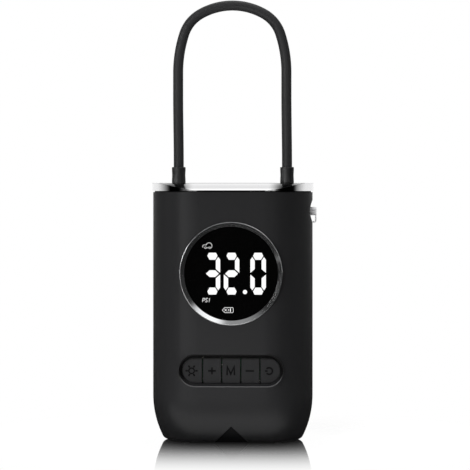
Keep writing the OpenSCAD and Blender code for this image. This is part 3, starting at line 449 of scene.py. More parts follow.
def frostedLens(name):
    # pale lens over the lamp, with small pebbles all over its face
    p = newPaint(name)
    pebbles = p.cells(620)
    return p.surface(baseColor=p.mix(p.noise(200), tone(214, 216, 212), tone(238, 238, 232)),
                     roughness=0.22 + (p.noise(400) - 0.5) * 0.1, transmission=0.35, ior=1.49,
                     normal=p.relief(pebbles, 0.0001))


def litFigure(name):
    # a lit segment: white light with a faint unevenness of the diffuser, over a dark face
    p = newPaint(name)
    uneven = p.noise(900, 2)
    return p.surface(baseColor=(0.02, 0.02, 0.02, 1), roughness=0.5, glow=p.mix(uneven, (0.9, 0.9, 0.9), (1, 1, 1)),
                     glowStrength=1.05)


# painted dark bands, in metres: a painted reflection of the collars on the metal top and a painted shadow
# along the keys' upper edge; each pair is where a fade begins and ends
paintedDarkBands = {
    "collars": (-0.0267, 0.0262), "beside": (0.0018, 0.0092), "slope": (0.0108, 0.0124),
    "keyEdge": (0.0397, 0.0401),
}


def paintedCollarReflection(p):
    # painted reflection of the collars and the hose: 0 before and behind the collars' feet on the sloping edges
    # and 1 elsewhere: smoothstep of the distance along X from each collar
    x, y = p.axes()[:2]
    left, right = ((x - c).work("ABSOLUTE").step(*paintedDarkBands["beside"]) for c in paintedDarkBands["collars"])
    slope = y.work("ABSOLUTE").step(*paintedDarkBands["slope"])
    return 1 - (1 - left * right) * slope


def paintedKeyShadow(p):
    # painted shadow under the recess's upper edge: 1 on the keys, and 0 along their upper edge
    return 1 - p.axes()[2].step(*paintedDarkBands["keyEdge"])


finishes = {
    "shell": mouldedPlastic(
        "softTouchShell", tone(33, 33, 34), tone(27, 27, 28),
        roughness=0.36, specular=0.26, grain=2600, depth=0.000012),
    "black_plastic": mouldedPlastic(
        "blackPlastic", tone(10, 10, 11), tone(6, 6, 7),
        roughness=0.55, specular=0.12, grain=2200, depth=0.00002),
    # the keys, with a painted shadow along their upper edge
    "key_plastic": mouldedPlastic(
        "keyPlastic", tone(33, 33, 34), tone(27, 27, 28),
        roughness=0.46, specular=0.3, grain=3000, depth=0.000015, shade=paintedKeyShadow),
    "white_plastic": mouldedPlastic(
        "whitePlastic", tone(226, 225, 220), tone(206, 205, 200),
        roughness=0.42, specular=0.5, grain=1800, depth=0.00002),
    # the metal top, with a painted dark reflection of the collars on its sloping edges
    "plate_metal": polishedMetal(
        "polishedPlate", (0.89, 0.89, 0.895), (0.84, 0.84, 0.845),
        roughness=0.09, spread=0.04, stretch=(0.06, 1, 1), depth=0.0000015, shade=paintedCollarReflection),
    "chrome": polishedMetal(
        "brightChrome", (0.86, 0.87, 0.88), (0.8, 0.81, 0.82),
        roughness=0.15, spread=0.04, stretch=(1, 1, 1), depth=0.000001),
    "satin": polishedMetal(
        "satinChrome", (0.92, 0.92, 0.93), (0.86, 0.86, 0.87),
        roughness=0.3, spread=0.06, stretch=(1, 1, 1), depth=0.000002, metallic=0.35),
    "steel": polishedMetal(
        "groundSteel", (0.62, 0.62, 0.62), (0.46, 0.46, 0.47),
        roughness=0.3, spread=0.16, stretch=(0.1, 1, 1), depth=0.00001),
    "brass": polishedMetal(
        "turnedBrass", (0.86, 0.66, 0.34), (0.7, 0.5, 0.23),
        roughness=0.26, spread=0.14, stretch=(1, 1, 8), depth=0.00001),
    "cast_alloy": castMetal(
        "castAlloy", (0.62, 0.62, 0.64), (0.4, 0.4, 0.42),
        roughness=0.46, grain=900, depth=0.00005),
    "magnet": castMetal(
        "sinteredMagnet", (0.09, 0.09, 0.095), (0.05, 0.05, 0.055),
        roughness=0.55, grain=1400, depth=0.00003, metallic=0.4),
    "hose_rubber": glossBlack(
        "collarBlack", tone(12, 12, 13), tone(8, 8, 9),
        roughness=0.46, ior=1.8, grain=1500, depth=0.0000008),
    "rubber": softRubber(
        "footRubber", tone(30, 30, 30), tone(18, 18, 18),
        roughness=0.8, specular=0.3, grain=900, depth=0.00006),
    "seal": softRubber(
        "sealRubber", tone(44, 44, 46), tone(28, 28, 30),
        roughness=0.55, specular=0.4, grain=1200, depth=0.00003),
    "gasket": softRubber(
        "gasketSheet", tone(74, 84, 78), tone(48, 56, 52),
        roughness=0.8, specular=0.3, grain=800, depth=0.00006),
    "foam": softRubber(
        "foamRing", tone(52, 52, 54), tone(24, 24, 25),
        roughness=0.95, specular=0.2, grain=1500, depth=0.0002),
    "board": circuitBoard("circuitBoard"),
    "windings": woundWire("woundWire"),
    "cell": cellWrap("cellWrap"),
    "window": darkGlass("darkGlass"),
    "lens": frostedLens("frostedLens"),
}
for row in frame["record"]["subparts"]:
    setFinish(cadNodes[row["node"]], finishes[row["material_slot"]])

# metal top
metalTop = {
    "flat": 15.25, "radius": 23.45, "under": 119.0, "crest": 122.8,
    "level": 12.0, "slopeRadius": 20.6,     # half depth of the level middle, radius of the slopes
    "rim": 0.1, "edge": 0.2,                # rounding of the outer rim and of the holes' edges
    "hoseHole": (-26.0, 0.0, 2.7), "gripHole": (26.0, 0.0, 6.3), "lampHole": (0.0, 4.0, 6.55),
    "rings": 22, "endPoints": 61, "edgePoints": 29, "linePoints": 41,
    "sharpFrom": 28,
}


def crownHeight(y, t):
    # crest - R + sqrt(R^2 - u^2), u the distance beyond the level middle
    u = np.maximum(np.abs(y) - t["level"], 0)
    return t["crest"] - t["slopeRadius"] + np.sqrt(t["slopeRadius"] ** 2 - u ** 2)


def plateEdges(t, radius):
    # the outline's four stretches, two half circles and two straight edges, and the two lines that part it
    # into one field for each hole
    f = t["flat"]
    across = np.linspace(-f, f, t["edgePoints"])
    along = np.linspace(-radius, radius, t["linePoints"])
    return {
        "left": arc((-f, 0), radius, 90, 270, t["endPoints"]),
        "right": arc((f, 0), radius, -90, 90, t["endPoints"]),
        "front": columns(across, -radius),
        "back": columns(-across, radius),
        "leftLine": columns(-f, along)[1:-1],
        "rightLine": columns(f, along)[1:-1],
    }


def holeField(hole, contour, t):
    # from the contour under the plate to the hole, up its wall, and back to the contour:
    # point = lip + share * (contour - lip)
    centre = np.array(hole[:2])
    way = contour - centre
    way /= np.linalg.norm(way, axis=1)[:, None]
    wall = centre + hole[2] * way
    lip = centre + (hole[2] + t["edge"]) * way
    share = np.linspace(0, 1, t["rings"])[:, None, None]
    top = lip + share * (contour - lip)
    rows = [columns(*contour.T, t["under"]), columns(*wall.T, t["under"]),
            columns(*wall.T, crownHeight(wall[:, 1], t) - t["edge"])]
    top = np.concatenate([top, crownHeight(top[:, :, 1], t)[:, :, None]], axis=2)
    return skin(np.concatenate([np.stack(rows), top]))


def plateRim(t):
    # quarter rounds along the outline, from the crown to the upright edge and down to the underside
    inner, outer = (np.concatenate([e["left"], e["front"][1:-1], e["right"], e["back"][1:-1]])
                    for e in (plateEdges(t, t["radius"] - t["rim"]), plateEdges(t, t["radius"])))
    height = crownHeight(inner[:, 1], t)
    rows = [columns(*(inner + (outer - inner) * math.sin(a)).T, height - t["rim"] * (1 - math.cos(a)))
            for a in np.radians([0, 22.5, 45, 67.5, 90])]
    rows += [columns(*outer.T, t["under"]), columns(*inner.T, t["under"])]
    return skin(np.stack(rows))


def smoothCrown(mesh, t):
    # on the crown the normal is (0, u, sqrt(R^2 - u^2)) / R, on the rim it turns from upright to outwards;
    # elsewhere it stays as it is
    topFacing, rimFacing = 0.8, -0.5        # a face of the crown or of the rim looks up by more than this
    aboveUnder, slack = 0.2, 0.001
    normals = meshValues(mesh.corner_normals, "vector", 3)
    at = meshValues(mesh.vertices, "co", 3)[meshValues(mesh.loops, "vertex_index")] / mm
    sizes = meshValues(mesh.polygons, "loop_total")
    up = np.repeat(meshValues(mesh.polygons, "normal", 3)[:, 2], sizes)
    u = np.sign(at[:, 1]) * np.maximum(np.abs(at[:, 1]) - t["level"], 0)
    crown = columns(0.0, u, np.sqrt(t["slopeRadius"] ** 2 - u ** 2)) / t["slopeRadius"]
    spine = np.clip(at[:, 0], -t["flat"], t["flat"])
    out = columns(at[:, 0] - spine, at[:, 1])
    reach = np.linalg.norm(out, axis=1)
    share = np.clip((reach - t["radius"]) / t["rim"] + 1, 0, 1)
    edge = columns(*(out / np.maximum(reach, slack)[:, None] * share[:, None]).T, np.sqrt(1 - share ** 2))
    inner = np.minimum.reduceat(reach, np.cumsum(sizes) - sizes)
    onEdge = (np.repeat(inner, sizes) > t["radius"] - t["rim"] - slack) & (up > rimFacing)
    onTop = (up > topFacing) & (at[:, 2] > t["under"] + aboveUnder) & ~onEdge
    normals[onTop] = crown[onTop]
    normals[onEdge] = edge[onEdge]
    mesh.normals_split_custom_set(normals.tolist())


edges = plateEdges(metalTop, metalTop["radius"] - metalTop["rim"])
fields = [
    holeField(metalTop["hoseHole"], np.concatenate([edges["left"], edges["leftLine"]]), metalTop),
    holeField(metalTop["gripHole"], np.concatenate([edges["right"], edges["rightLine"][::-1]]), metalTop),
    holeField(metalTop["lampHole"], np.concatenate([edges["front"], edges["rightLine"], edges["back"],
                                                    edges["leftLine"][::-1]]), metalTop),
]
plate = makePiece("metalPlate", fields + [plateRim(metalTop)], weld=True)
plate.data.shade_smooth()
plate.data.set_sharp_from_angle(angle=math.radians(metalTop["sharpFrom"]))
smoothCrown(plate.data, metalTop)
setFinish(plate, finishes["plate_metal"])
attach(plate, "housing")
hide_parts("top_plate")
print("metal top made")

# bezel ring
bezel = {
    "height": 80.2, "outer": 24.25, "inner": 22.1, "back": -19.0, "crest": -23.5,
    "slopeTop": 23.9, "slopeFoot": -22.4,
    "round": 0.28, "topEase": 0.12, "footEase": 0.1,    # outer corner, and a narrow face at each end of the slope
    "around": 240, "sharpFrom": 24,
}


def bezelProfile(b):
    # (radius, depth): up the outside, over the rounded corner and the crest, down the slope and back inside
    top, foot = np.array([b["slopeTop"], b["crest"]]), np.array([b["inner"], b["slopeFoot"]])
    slope = foot - top
    slope /= np.linalg.norm(slope)
    return np.concatenate([
        [(b["outer"], b["back"])],
        rounded((b["outer"], b["crest"]), (0, -1), (-1, 0), b["round"], 7),
        [top, top + b["topEase"] * slope, foot - b["footEase"] * slope, foot, foot + (0, b["footEase"])],
        [(b["inner"], b["back"])],
    ])


ring = makePiece("bezelRing", [turned(bezelProfile(bezel), bezel["around"],
                                      lambda u, v, w: (u, w, v + bezel["height"]))], bezel["sharpFrom"])
setFinish(ring, finishes["chrome"])
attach(ring, "housing")
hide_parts("display_bezel")
print("bezel made")

# eyelet: a turned post with a strap bent down and back from its face
eyelet = {
    "height": 109.4, "postRadius": 2.0, "root": 33.95, "face": 40.1, "round": 0.3, "centre": 0.01,
    "strap": 0.7, "halfWidth": 2.0, "low": 103.9, "heel": 38.35, "bend": 0.45, "edge": 0.16,
    "fallPoints": 40, "bendPoints": 8, "heelPoints": 6, "strapAround": 32, "postAround": 64,
    "sharpFrom": 30,
}


def strapPath(e):
    # (x, z) down the face, a quarter bend, and in to the housing
    x = e["face"] - e["strap"] / 2
    low = e["low"] + e["strap"] / 2
    down = np.linspace(e["height"] + e["postRadius"] - 0.02, low + e["bend"], e["fallPoints"])
    fall = columns(x, down)
    turn = arc((x - e["bend"], low + e["bend"]), e["bend"], 0, -90, e["bendPoints"])[1:]
    back = np.linspace(x - e["bend"], e["heel"], e["heelPoints"])
    level = columns(back, low)[1:]
    return np.concatenate([fall, turn, level])


def strapSkin(e):
    # a rounded bar carried along the path; its half width follows the post's circle at the top:
    # w = sqrt(r^2 - h^2)
    path = strapPath(e)
    step = np.gradient(path, axis=0)
    step /= np.linalg.norm(step, axis=1)[:, None]
    out = columns(-step[:, 1], step[:, 0])
    lift = np.clip(path[:, 1] - e["height"], 0, None)
    circle = np.sqrt(np.maximum(e["halfWidth"] ** 2 - lift ** 2, 0.01))
    width = np.where(path[:, 1] > e["height"], circle, e["halfWidth"])[:, None]
    n, m, r = len(path), e["strapAround"], e["edge"]
    a = np.linspace(0, 2 * math.pi, m, endpoint=False)
    u = np.sign(np.cos(a)) * (width - np.minimum(r, width)) + np.minimum(r, width) * np.cos(a)
    v = np.sign(np.sin(a)) * (e["strap"] / 2 - r) + r * np.sin(a)
    points, faces = skin(np.stack([path[:, :1] + out[:, :1] * v, u, path[:, 1:] + out[:, 1:] * v], axis=-1))
    return points, faces + [list(range(m)), list(range(n * m - 1, (n - 1) * m - 1, -1))]


def postProfile(e):
    # (radius, x): out from the axis at the root, along the post, over the rounded edge and in across the face
    return np.concatenate([[(e["centre"], e["root"]), (e["postRadius"], e["root"])],
                           rounded((e["postRadius"], e["face"]), (0, 1), (-1, 0), e["round"], 6),
                           [(e["centre"], e["face"])]])


post = turned(postProfile(eyelet), eyelet["postAround"], lambda u, v, w: (w, u, v + eyelet["height"]))
eye = makePiece("lanyardEyelet", [post, strapSkin(eyelet)], eyelet["sharpFrom"])
setFinish(eye, finishes["satin"])
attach(eye, "housing")
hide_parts("eyelet")
print("eyelet made")

# crimped collars at the hose's ends
collar = {
    "x": 26.0, "bore": 2.43, "radius": 3.3, "foot": 122.83, "top": 130.5, "footRound": 0.25, "round": 0.35,
    "waist": 0.12, "waistFoot": 0.7, "waistTop": 0.9,   # pressed in by waist, from and to these distances
    "sidePoints": 12, "around": 72, "sharpFrom": 35,
}


def collarProfile(c):
    # (radius, height): a barrel pressed in slightly in the middle, by waist * sin^2, with rounded shoulders
    z = np.linspace(c["foot"] + c["waistFoot"], c["top"] - c["waistTop"], c["sidePoints"])
    share = (z - z[0]) / (z[-1] - z[0])
    side = columns(c["radius"] - c["waist"] * np.sin(math.pi * share) ** 2, z)
    return np.concatenate([
        [(c["bore"], c["foot"])],
        rounded((c["radius"], c["foot"]), (1, 0), (0, 1), c["footRound"], 5),
        side,
        rounded((c["radius"], c["top"]), (0, 1), (-1, 0), c["round"], 6),
        [(c["bore"], c["top"])],
    ])


for name, node, body, side in (("fixedCollar", "fixed_collar", "housing", -1),
                               ("chuckCollar", "chuck_collar", "chuck", 1)):
    barrel = turned(collarProfile(collar), collar["around"], lambda u, v, w: (u + side * collar["x"], v, w))
    crimp = makePiece(name, [barrel], collar["sharpFrom"])
    setFinish(crimp, finishes["hose_rubber"])
    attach(crimp, body)
    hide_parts(node)
    collar[name] = crimp
print("collars made")

hose = {
    "legX": 26.0, "legFoot": 123.7, "legTop": 175.9,
    "sideRadius": 60.0, "sideTurn": 18.0,
    "shoulderRadius": 17.0, "shoulderTurn": 42.0,
    "legPoints": 24, "sidePoints": 12, "shoulderPoints": 14, "crownPoints": 16,
    "radius": 2.425, "aroundPoints": 40, "sharpFrom": 40,
    "lean": 0.3, "leanFoot": 131, "leanTop": 165.0,
}


def hosePath(h):
    # left half: straight leg, then arcs whose centres lie on one another's end radii, so the line stays
    # smooth; the right half is its mirror
    side = (h["sideRadius"] - h["legX"], h["legTop"])
    sideEnd = 180 - h["sideTurn"]
    shoulderEnd = sideEnd - h["shoulderTurn"]
    first, last = math.radians(sideEnd), math.radians(shoulderEnd)
    inward = h["sideRadius"] - h["shoulderRadius"]
    shoulder = (side[0] + inward * math.cos(first), side[1] + inward * math.sin(first))
    tip = arc(shoulder, h["shoulderRadius"], shoulderEnd, shoulderEnd, 1)[0]
    crownRadius = tip[0] / math.cos(last)
    crown = (0, tip[1] - crownRadius * math.sin(last))
    climb = np.linspace(h["legFoot"], h["legTop"], h["legPoints"])
    half = np.concatenate([columns(-h["legX"], climb),
                           arc(side, h["sideRadius"], 180, sideEnd, h["sidePoints"])[1:],
                           arc(shoulder, h["shoulderRadius"], sideEnd, shoulderEnd, h["shoulderPoints"])[1:],
                           arc(crown, crownRadius, shoulderEnd, 90, h["crownPoints"])[1:]])
    flat = np.concatenate([half, half[-2::-1] * (-1, 1)])
    # above the collars both legs lean over to the left: lean * (3 s^2 - 2 s^3), s the share of the way up
    # from leanFoot to leanTop
    s = np.clip((flat[:, 1] - h["leanFoot"]) / (h["leanTop"] - h["leanFoot"]), 0, 1)
    flat[:, 0] -= h["lean"] * s * s * (3 - 2 * s)
    return standing(flat, 0)


def tube(path, radius, around):
    # ring i, point j = path[i] + radius * (cos a * across + sin a * depth), across being the path's normal
    # in its own plane
    ahead = np.gradient(path, axis=0)
    ahead /= np.linalg.norm(ahead, axis=1)[:, None]
    depth = np.array([0.0, 1.0, 0.0])
    across = np.cross(ahead, depth)[:, None]
    a = np.linspace(0, 2 * math.pi, around, endpoint=False)[None, :, None]
    points, quads = skin(path[:, None] + radius * (np.cos(a) * across + np.sin(a) * depth))
    n = len(points)
    return points, quads + [list(range(around)), list(range(n - 1, n - around - 1, -1))]


def wrapAlong(piece, path, around):
    # UV: u = share of the way round, v = metres along the path; the last column goes on to u = 1
    run = np.concatenate([[0], np.cumsum(np.linalg.norm(np.diff(path, axis=0), axis=1))]) * mm
    mesh = piece.data
    corner = meshValues(mesh.loops, "vertex_index")
    sizes = meshValues(mesh.polygons, "loop_total")
    u = (corner % around) / around
    starts = np.cumsum(sizes) - sizes
    width = np.maximum.reduceat(u, starts) - np.minimum.reduceat(u, starts)
    u = np.where(np.repeat((width > 0.5) & (sizes == 4), sizes) & (u < 0.5), u + 1, u)
    layer = mesh.uv_layers.new(name="alongHose")
    layer.data.foreach_set("uv", columns(u, run[corner // around]).astype(np.float32).ravel())


hoseLine = hosePath(hose)
hoseTube = makePiece("airHose", [tube(hoseLine, hose["radius"], hose["aroundPoints"])], hose["sharpFrom"])
wrapAlong(hoseTube, hoseLine, hose["aroundPoints"])
setFinish(hoseTube, hoseSkin("hoseSkin", tone(44, 44, 45), tone(36, 36, 37), roughness=0.45, specular=0.35))
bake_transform(hoseTube)
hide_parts("hose")

display = {
    "front": -22.03, "back": -21.98,    # just through the window's face
    "height": 80.19,
    "trim": 0.11,                       # by which each bar is drawn in
    "figures": {"3": -8.76, "2": 0.24, "0": 12.72},
    "dot": (6.54, -8.6), "dotRadius": 1.02,
}
# the seven bars of a figure, as outlines about its middle: a top, b upper right, g middle; the others are
# their mirrors
barTop = np.array([(-2.5, 8.36), (-1.76, 9.93), (1.76, 9.93), (2.5, 8.36), (1.43, 6.41), (-1.43, 6.41)])
barSide = np.array([(2.72, 8.02), (3.76, 6.57), (3.76, 0.5), (3.5, 0.36), (1.5, 2.12), (1.5, 6.18)])
barMiddle = np.array([(-3.2, 0), (-1.41, 1.69), (1.41, 1.69), (3.2, 0), (1.41, -1.69), (-1.41, -1.69)])
bars = {
    "a": barTop, "b": barSide, "c": barSide * (1, -1), "d": barTop * (1, -1),
    "e": barSide * (-1, -1), "f": barSide * (-1, 1), "g": barMiddle,
}
lit = {"3": "abcdg", "2": "abdeg", "0": "abcdef"}


def onDisplay(path, shift=0):
    # point = path + (shift, height): paths are drawn about the display's middle
    return np.asarray(path, float) + (shift, display["height"])


def litBlock(outline):
    # the outline carried through the display's thin lit layer
    return prism(outline, display["front"], display["back"])


def litLine(path, width, closed=False):
    # a line of that width in the same layer, on a path about the display's middle
    return ribbon(onDisplay(path), width, display["front"], display["back"], closed)


figureParts = [litBlock(onDisplay(inset(bars[b], display["trim"]), display["figures"][f]))
               for f in lit for b in lit[f]]
dotMiddle = onDisplay(display["dot"])
figureParts.append(litBlock(arc(dotMiddle, display["dotRadius"], 0, 345, 24)))
figures = makePiece("displayFigures", figureParts)

unit = {
    "width": 0.2,
    "letters": {
        "P": [(-13.45, -13.35), (-13.2, -11.55), (-12.45, -11.55), (-12.25, -12.0), (-12.5, -12.5), (-13.2, -12.5)],
        "S": [(-10.95, -11.75), (-11.3, -11.5), (-11.75, -11.6), (-11.85, -12.05),
              (-11.2, -12.75), (-11.3, -13.2), (-11.75, -13.35), (-12.15, -13.15)],
        "I": [(-10.35, -13.35), (-10.1, -11.45)],
    },
}
unitSign = makePiece("displayUnit", [litLine(s, unit["width"]) for s in unit["letters"].values()])

carSign = {
    "width": 0.17, "thinWidth": 0.15,
    "body": [(-13.15, 12.3), (-13.4, 12.8), (-13.05, 13.4), (-12.35, 13.6), (-11.75, 13.35), (-11.3, 14.15),
             (-10.4, 14.55), (-9.5, 14.3), (-9.0, 13.55), (-9.0, 12.6), (-9.35, 12.05)],
    "wheels": [(-12.0, 12.15), (-10.05, 12.15)], "wheelRadius": 0.42,
    "sill": [(-11.45, 12.15), (-10.6, 12.15)],
}
carParts = [litLine(carSign["body"], carSign["width"])]
carParts += [litLine(arc(w, carSign["wheelRadius"], 0, 336, 15), carSign["thinWidth"], True)
             for w in carSign["wheels"]]
carParts.append(litLine(carSign["sill"], carSign["thinWidth"]))
carIcon = makePiece("displayVehicle", carParts)

batterySign = {
    "width": 0.18, "markWidth": 0.16,
    "outline": [(-4.1, -17.1), (-2.95, -18.3), (0.75, -18.3), (1.05, -17.9), (1.05, -16.3), (0.75, -15.9),
                (-2.95, -15.9)],
    "marks": [[(-3.1, -16.5), (-2.0, -17.7)], [(-3.1, -17.7), (-2.0, -16.5)],
              [(-1.5, -17.75), (-0.85, -17.1), (-1.5, -16.45)]],
    "bar": [(-0.48, -17.95), (-0.1, -17.95), (-0.1, -16.25), (-0.48, -16.25)],
}
batteryParts = [litLine(batterySign["outline"], batterySign["width"], True)]
batteryParts += [litLine(m, batterySign["markWidth"]) for m in batterySign["marks"]]
batteryParts.append(litBlock(onDisplay(batterySign["bar"])))
batteryIcon = makePiece("displayBattery", batteryParts)
figureLight = litFigure("figureLight")
for piece in (figures, unitSign, carIcon, batteryIcon):
    setFinish(piece, figureLight)
    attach(piece, "housing")
print("display figures made")

# a skin over the key recess that carries painted shade and a painted highlight, with a rounded edge at the
# housing's face
keyWell = {
    "height": 34.6, "half": 17.0, "face": -23.005, "edge": 7.62, "bulge": 0.45, "shoulder": -22.4,
    "slopeTop": (7.17, -21.07), "slopeFoot": (6.23, -20.27), "behind": 0.08,
    "lipPoints": 9, "around": 48, "sharpFrom": 50,
    # painted shade over the recess's upper half and a painted highlight on the lip's lower half
    "shadeFade": (-6.6, -1.5),      # heights about the middle between which the pale plastic turns black
    "lipFade": (-22.62, -22.38),    # depths between which the lip's paler tone ends
}


def wellProfile(k):
    # (radius, depth): a quarter of an ellipse r = edge - bulge sin t, y = shoulder + (face - shoulder) cos t,
    # then in to the slope and back behind it
    t = np.linspace(0, math.pi / 2, k["lipPoints"])
    lip = columns(k["edge"] - k["bulge"] * np.sin(t), k["shoulder"] + (k["face"] - k["shoulder"]) * np.cos(t))
    top, foot = np.array(k["slopeTop"]), np.array(k["slopeFoot"])
    return np.concatenate([lip, [top, foot, foot + (0, k["behind"]), top + (k["edge"] - top[0], k["behind"])]])


def pillRings(profile, k):
    # the profile carried round a pill: point = (+-half + r cos a, y, height + r sin a)
    a = np.radians(np.concatenate([np.linspace(-90, 90, k["around"]), np.linspace(90, 270, k["around"])]))
    centre = np.repeat([k["half"], -k["half"]], k["around"])
    r, y = profile[:, :1], profile[:, 1:]
    x = centre + r * np.cos(a)
    return np.stack([x, np.broadcast_to(y, x.shape), k["height"] + r * np.sin(a)], axis=-1)


def recessPaintedShadeAndHighlight(name, k):
    # painted shade: black over the recess's upper half; painted highlight: paler on the lip's lower half;
    # with a fine moulding grain
    p = newPaint(name)
    y, z = p.axes()[1:]
    low = 1 - z.step(*((k["height"] + h) * mm for h in k["shadeFade"]))
    lip = 1 - y.step(*(d * mm for d in k["lipFade"]))
    fine = p.noise(2600)
    wall = p.mix(low, tone(9, 9, 9), tone(34, 34, 35))
    return p.surface(baseColor=p.mix(low * lip, wall, p.mix(fine, tone(74, 74, 75), tone(84, 84, 85))),
                     roughness=0.36 + (fine - 0.5) * 0.1, specular=0.3, normal=p.relief(fine, 0.00001))


recessShadeSkin = makePiece("keyRecessShadeSkin", [skin(pillRings(wellProfile(keyWell), keyWell), closeAlong=True)],
                   keyWell["sharpFrom"])
setFinish(recessShadeSkin, recessPaintedShadeAndHighlight("recessPaintedShadeAndHighlight", keyWell))
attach(recessShadeSkin, "housing")
print("key recess lined")

keySigns = {
    "front": -20.44, "back": -20.38, "height": 34.4, "line": 0.75,
    "centres": {"lamp": -18.65, "plus": -9.05, "mode": -0.2, "minus": 8.75, "power": 17.85},
    "sunRays": (1.75, 2.85), "sunRadius": 1.3, "sunLine": 0.6,      # rays from and to, their ring and its width
    "powerRadius": 1.55, "powerTurn": 140,
}


def sunRays(k):
    # six rays of the lamp sign, each from radius to radius: point = r * (cos a, sin a)
    return [[(r * math.cos(a), r * math.sin(a)) for r in k["sunRays"]] for a in np.radians(np.arange(0, 360, 60))]


signStrokes = {
    "lamp": sunRays(keySigns),
    "plus": [[(-1.8, 0), (1.8, 0)], [(0, 0.24), (0, 1.65)], [(0, -0.24), (0, -1.65)]],
    "mode": [[(-1.75, -2.0), (-1.6, 1.95), (0, -1.5), (1.6, 1.95), (1.75, -2.0)]],
    "minus": [[(-2.0, 0), (2.0, 0)]],
    "power": [arc((0, 0), keySigns["powerRadius"], -keySigns["powerTurn"], keySigns["powerTurn"], 24),
              [(-1.95, 0), (-0.75, 0)]],
}
signInk = softRubber("signInk", tone(7, 7, 8), tone(4, 4, 4), roughness=0.7, specular=0.1, grain=1500, depth=0.00001)
for key, strokes in signStrokes.items():
    centre = (keySigns["centres"][key], keySigns["height"])
    depths = (keySigns["front"], keySigns["back"])
    parts = [ribbon(np.asarray(s, float) + centre, keySigns["line"], *depths) for s in strokes]
    if key == "lamp":
        parts.append(ribbon(arc(centre, keySigns["sunRadius"], 0, 340, 18), keySigns["sunLine"], *depths, True))
    sign = makePiece("sign" + key.capitalize(), parts)
    setFinish(sign, signInk)
    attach(sign, key + "_key")
print("key signs made")

# the floor: lengths in metres and lights as strengths; each pair is where a fade begins and ends
stage = {
    "halfWidth": 6.0,
    "outline": (0.01525, 0.023),            # the housing on the floor: half its straight length, radius of its ends
    "mirrorReach": (-0.008, 0.108),         # the floor's sheen fades out between these distances from the housing
    "mirrorShare": 0.985,
    "floorTone": 222,
    "floorGlow": 0.33,
    "shadowReach": (0.02, 0.1),             # it takes the lamps' light and the shadow up to here, and is white beyond
    "white": 1.0, "dark": 0.02, "pale": 1.5,
    # what metal and gloss see of it: dark, with a pale sheet in front to the left, a strip at the foot and
    # a patch far off to the left
    "sheet": {"x": ((-0.27, -0.21), (0.0, 0.05)), "y": ((-0.7, -0.6), (-0.18, -0.14)), "share": 0.8},
    "strip": {"x": ((-0.12, -0.09), (0.03, 0.055)), "y": ((-0.06, -0.045), (-0.026, -0.021)), "share": 0.66},
    "far": {"heading": ((-0.8, -0.74), (-0.4, -0.25)), "y": (-0.3, -0.1), "reach": (0.7, 1.0)},
}


def makeFloor(s):
    # a flat square at z = 0: matt with the object's shadow, and a sheen that fades with the distance from
    # the housing
    w = s["halfWidth"]
    mesh = bpy.data.meshes.new("floor")
    mesh.from_pydata([(-w, -w, 0), (w, -w, 0), (w, w, 0), (-w, w, 0)], [], [(0, 1, 2, 3)])
    floor = bpy.data.objects.new("floor", mesh)
    bpy.context.scene.collection.objects.link(floor)
    p = newPaint("paleFloor")
    x, y = p.axes()[:2]
    # distance from the housing's outline, a bar with round ends
    beyond = (x.work("ABSOLUTE") - s["outline"][0]).work("MAXIMUM", 0.0)
    away = (beyond * beyond + y * y).work("SQRT") - s["outline"][1]
    rays = p.node("LightPath")
    seen = Field(p, rays.outputs["Is Camera Ray"])
    gloss = Field(p, rays.outputs["Is Glossy Ray"])
    colour = (*tone(s["floorTone"], s["floorTone"], s["floorTone"]), 1)
    matt = p.node("BsdfDiffuse", {}, {"Color": colour}).outputs[0]
    plain = p.node("AddShader", {}, {0: matt, 1: p.light(s["floorGlow"])}).outputs[0]
    mirror = p.node("BsdfGlossy", {}, {"Color": (1, 1, 1, 1), "Roughness": 0.0}).outputs[0]
    sheet, strip = (s[k]["share"] * x.between(*s[k]["x"]) * y.between(*s[k]["y"]) for k in ("sheet", "strip"))
    reach = (x * x + y * y).work("SQRT")
    heading = x / reach
    far = heading.between(*s["far"]["heading"]) * (1 - y.step(*s["far"]["y"])) * reach.step(*s["far"]["reach"])
    mirrored = p.either(sheet + strip + far, p.light(s["dark"]), p.light(s["pale"]))
    wide = p.either(away.step(*s["shadowReach"]), plain, p.light(s["white"]))
    shown = p.either((1 - away.step(*s["mirrorReach"])) * s["mirrorShare"], wide, mirror)
    both = p.either(seen, p.either(gloss, matt, mirrored), shown)
    p.node("OutputMaterial", {}, {"Surface": both})
    p.owner.cycles.emission_sampling = "NONE"
    setFinish(floor, p.owner)


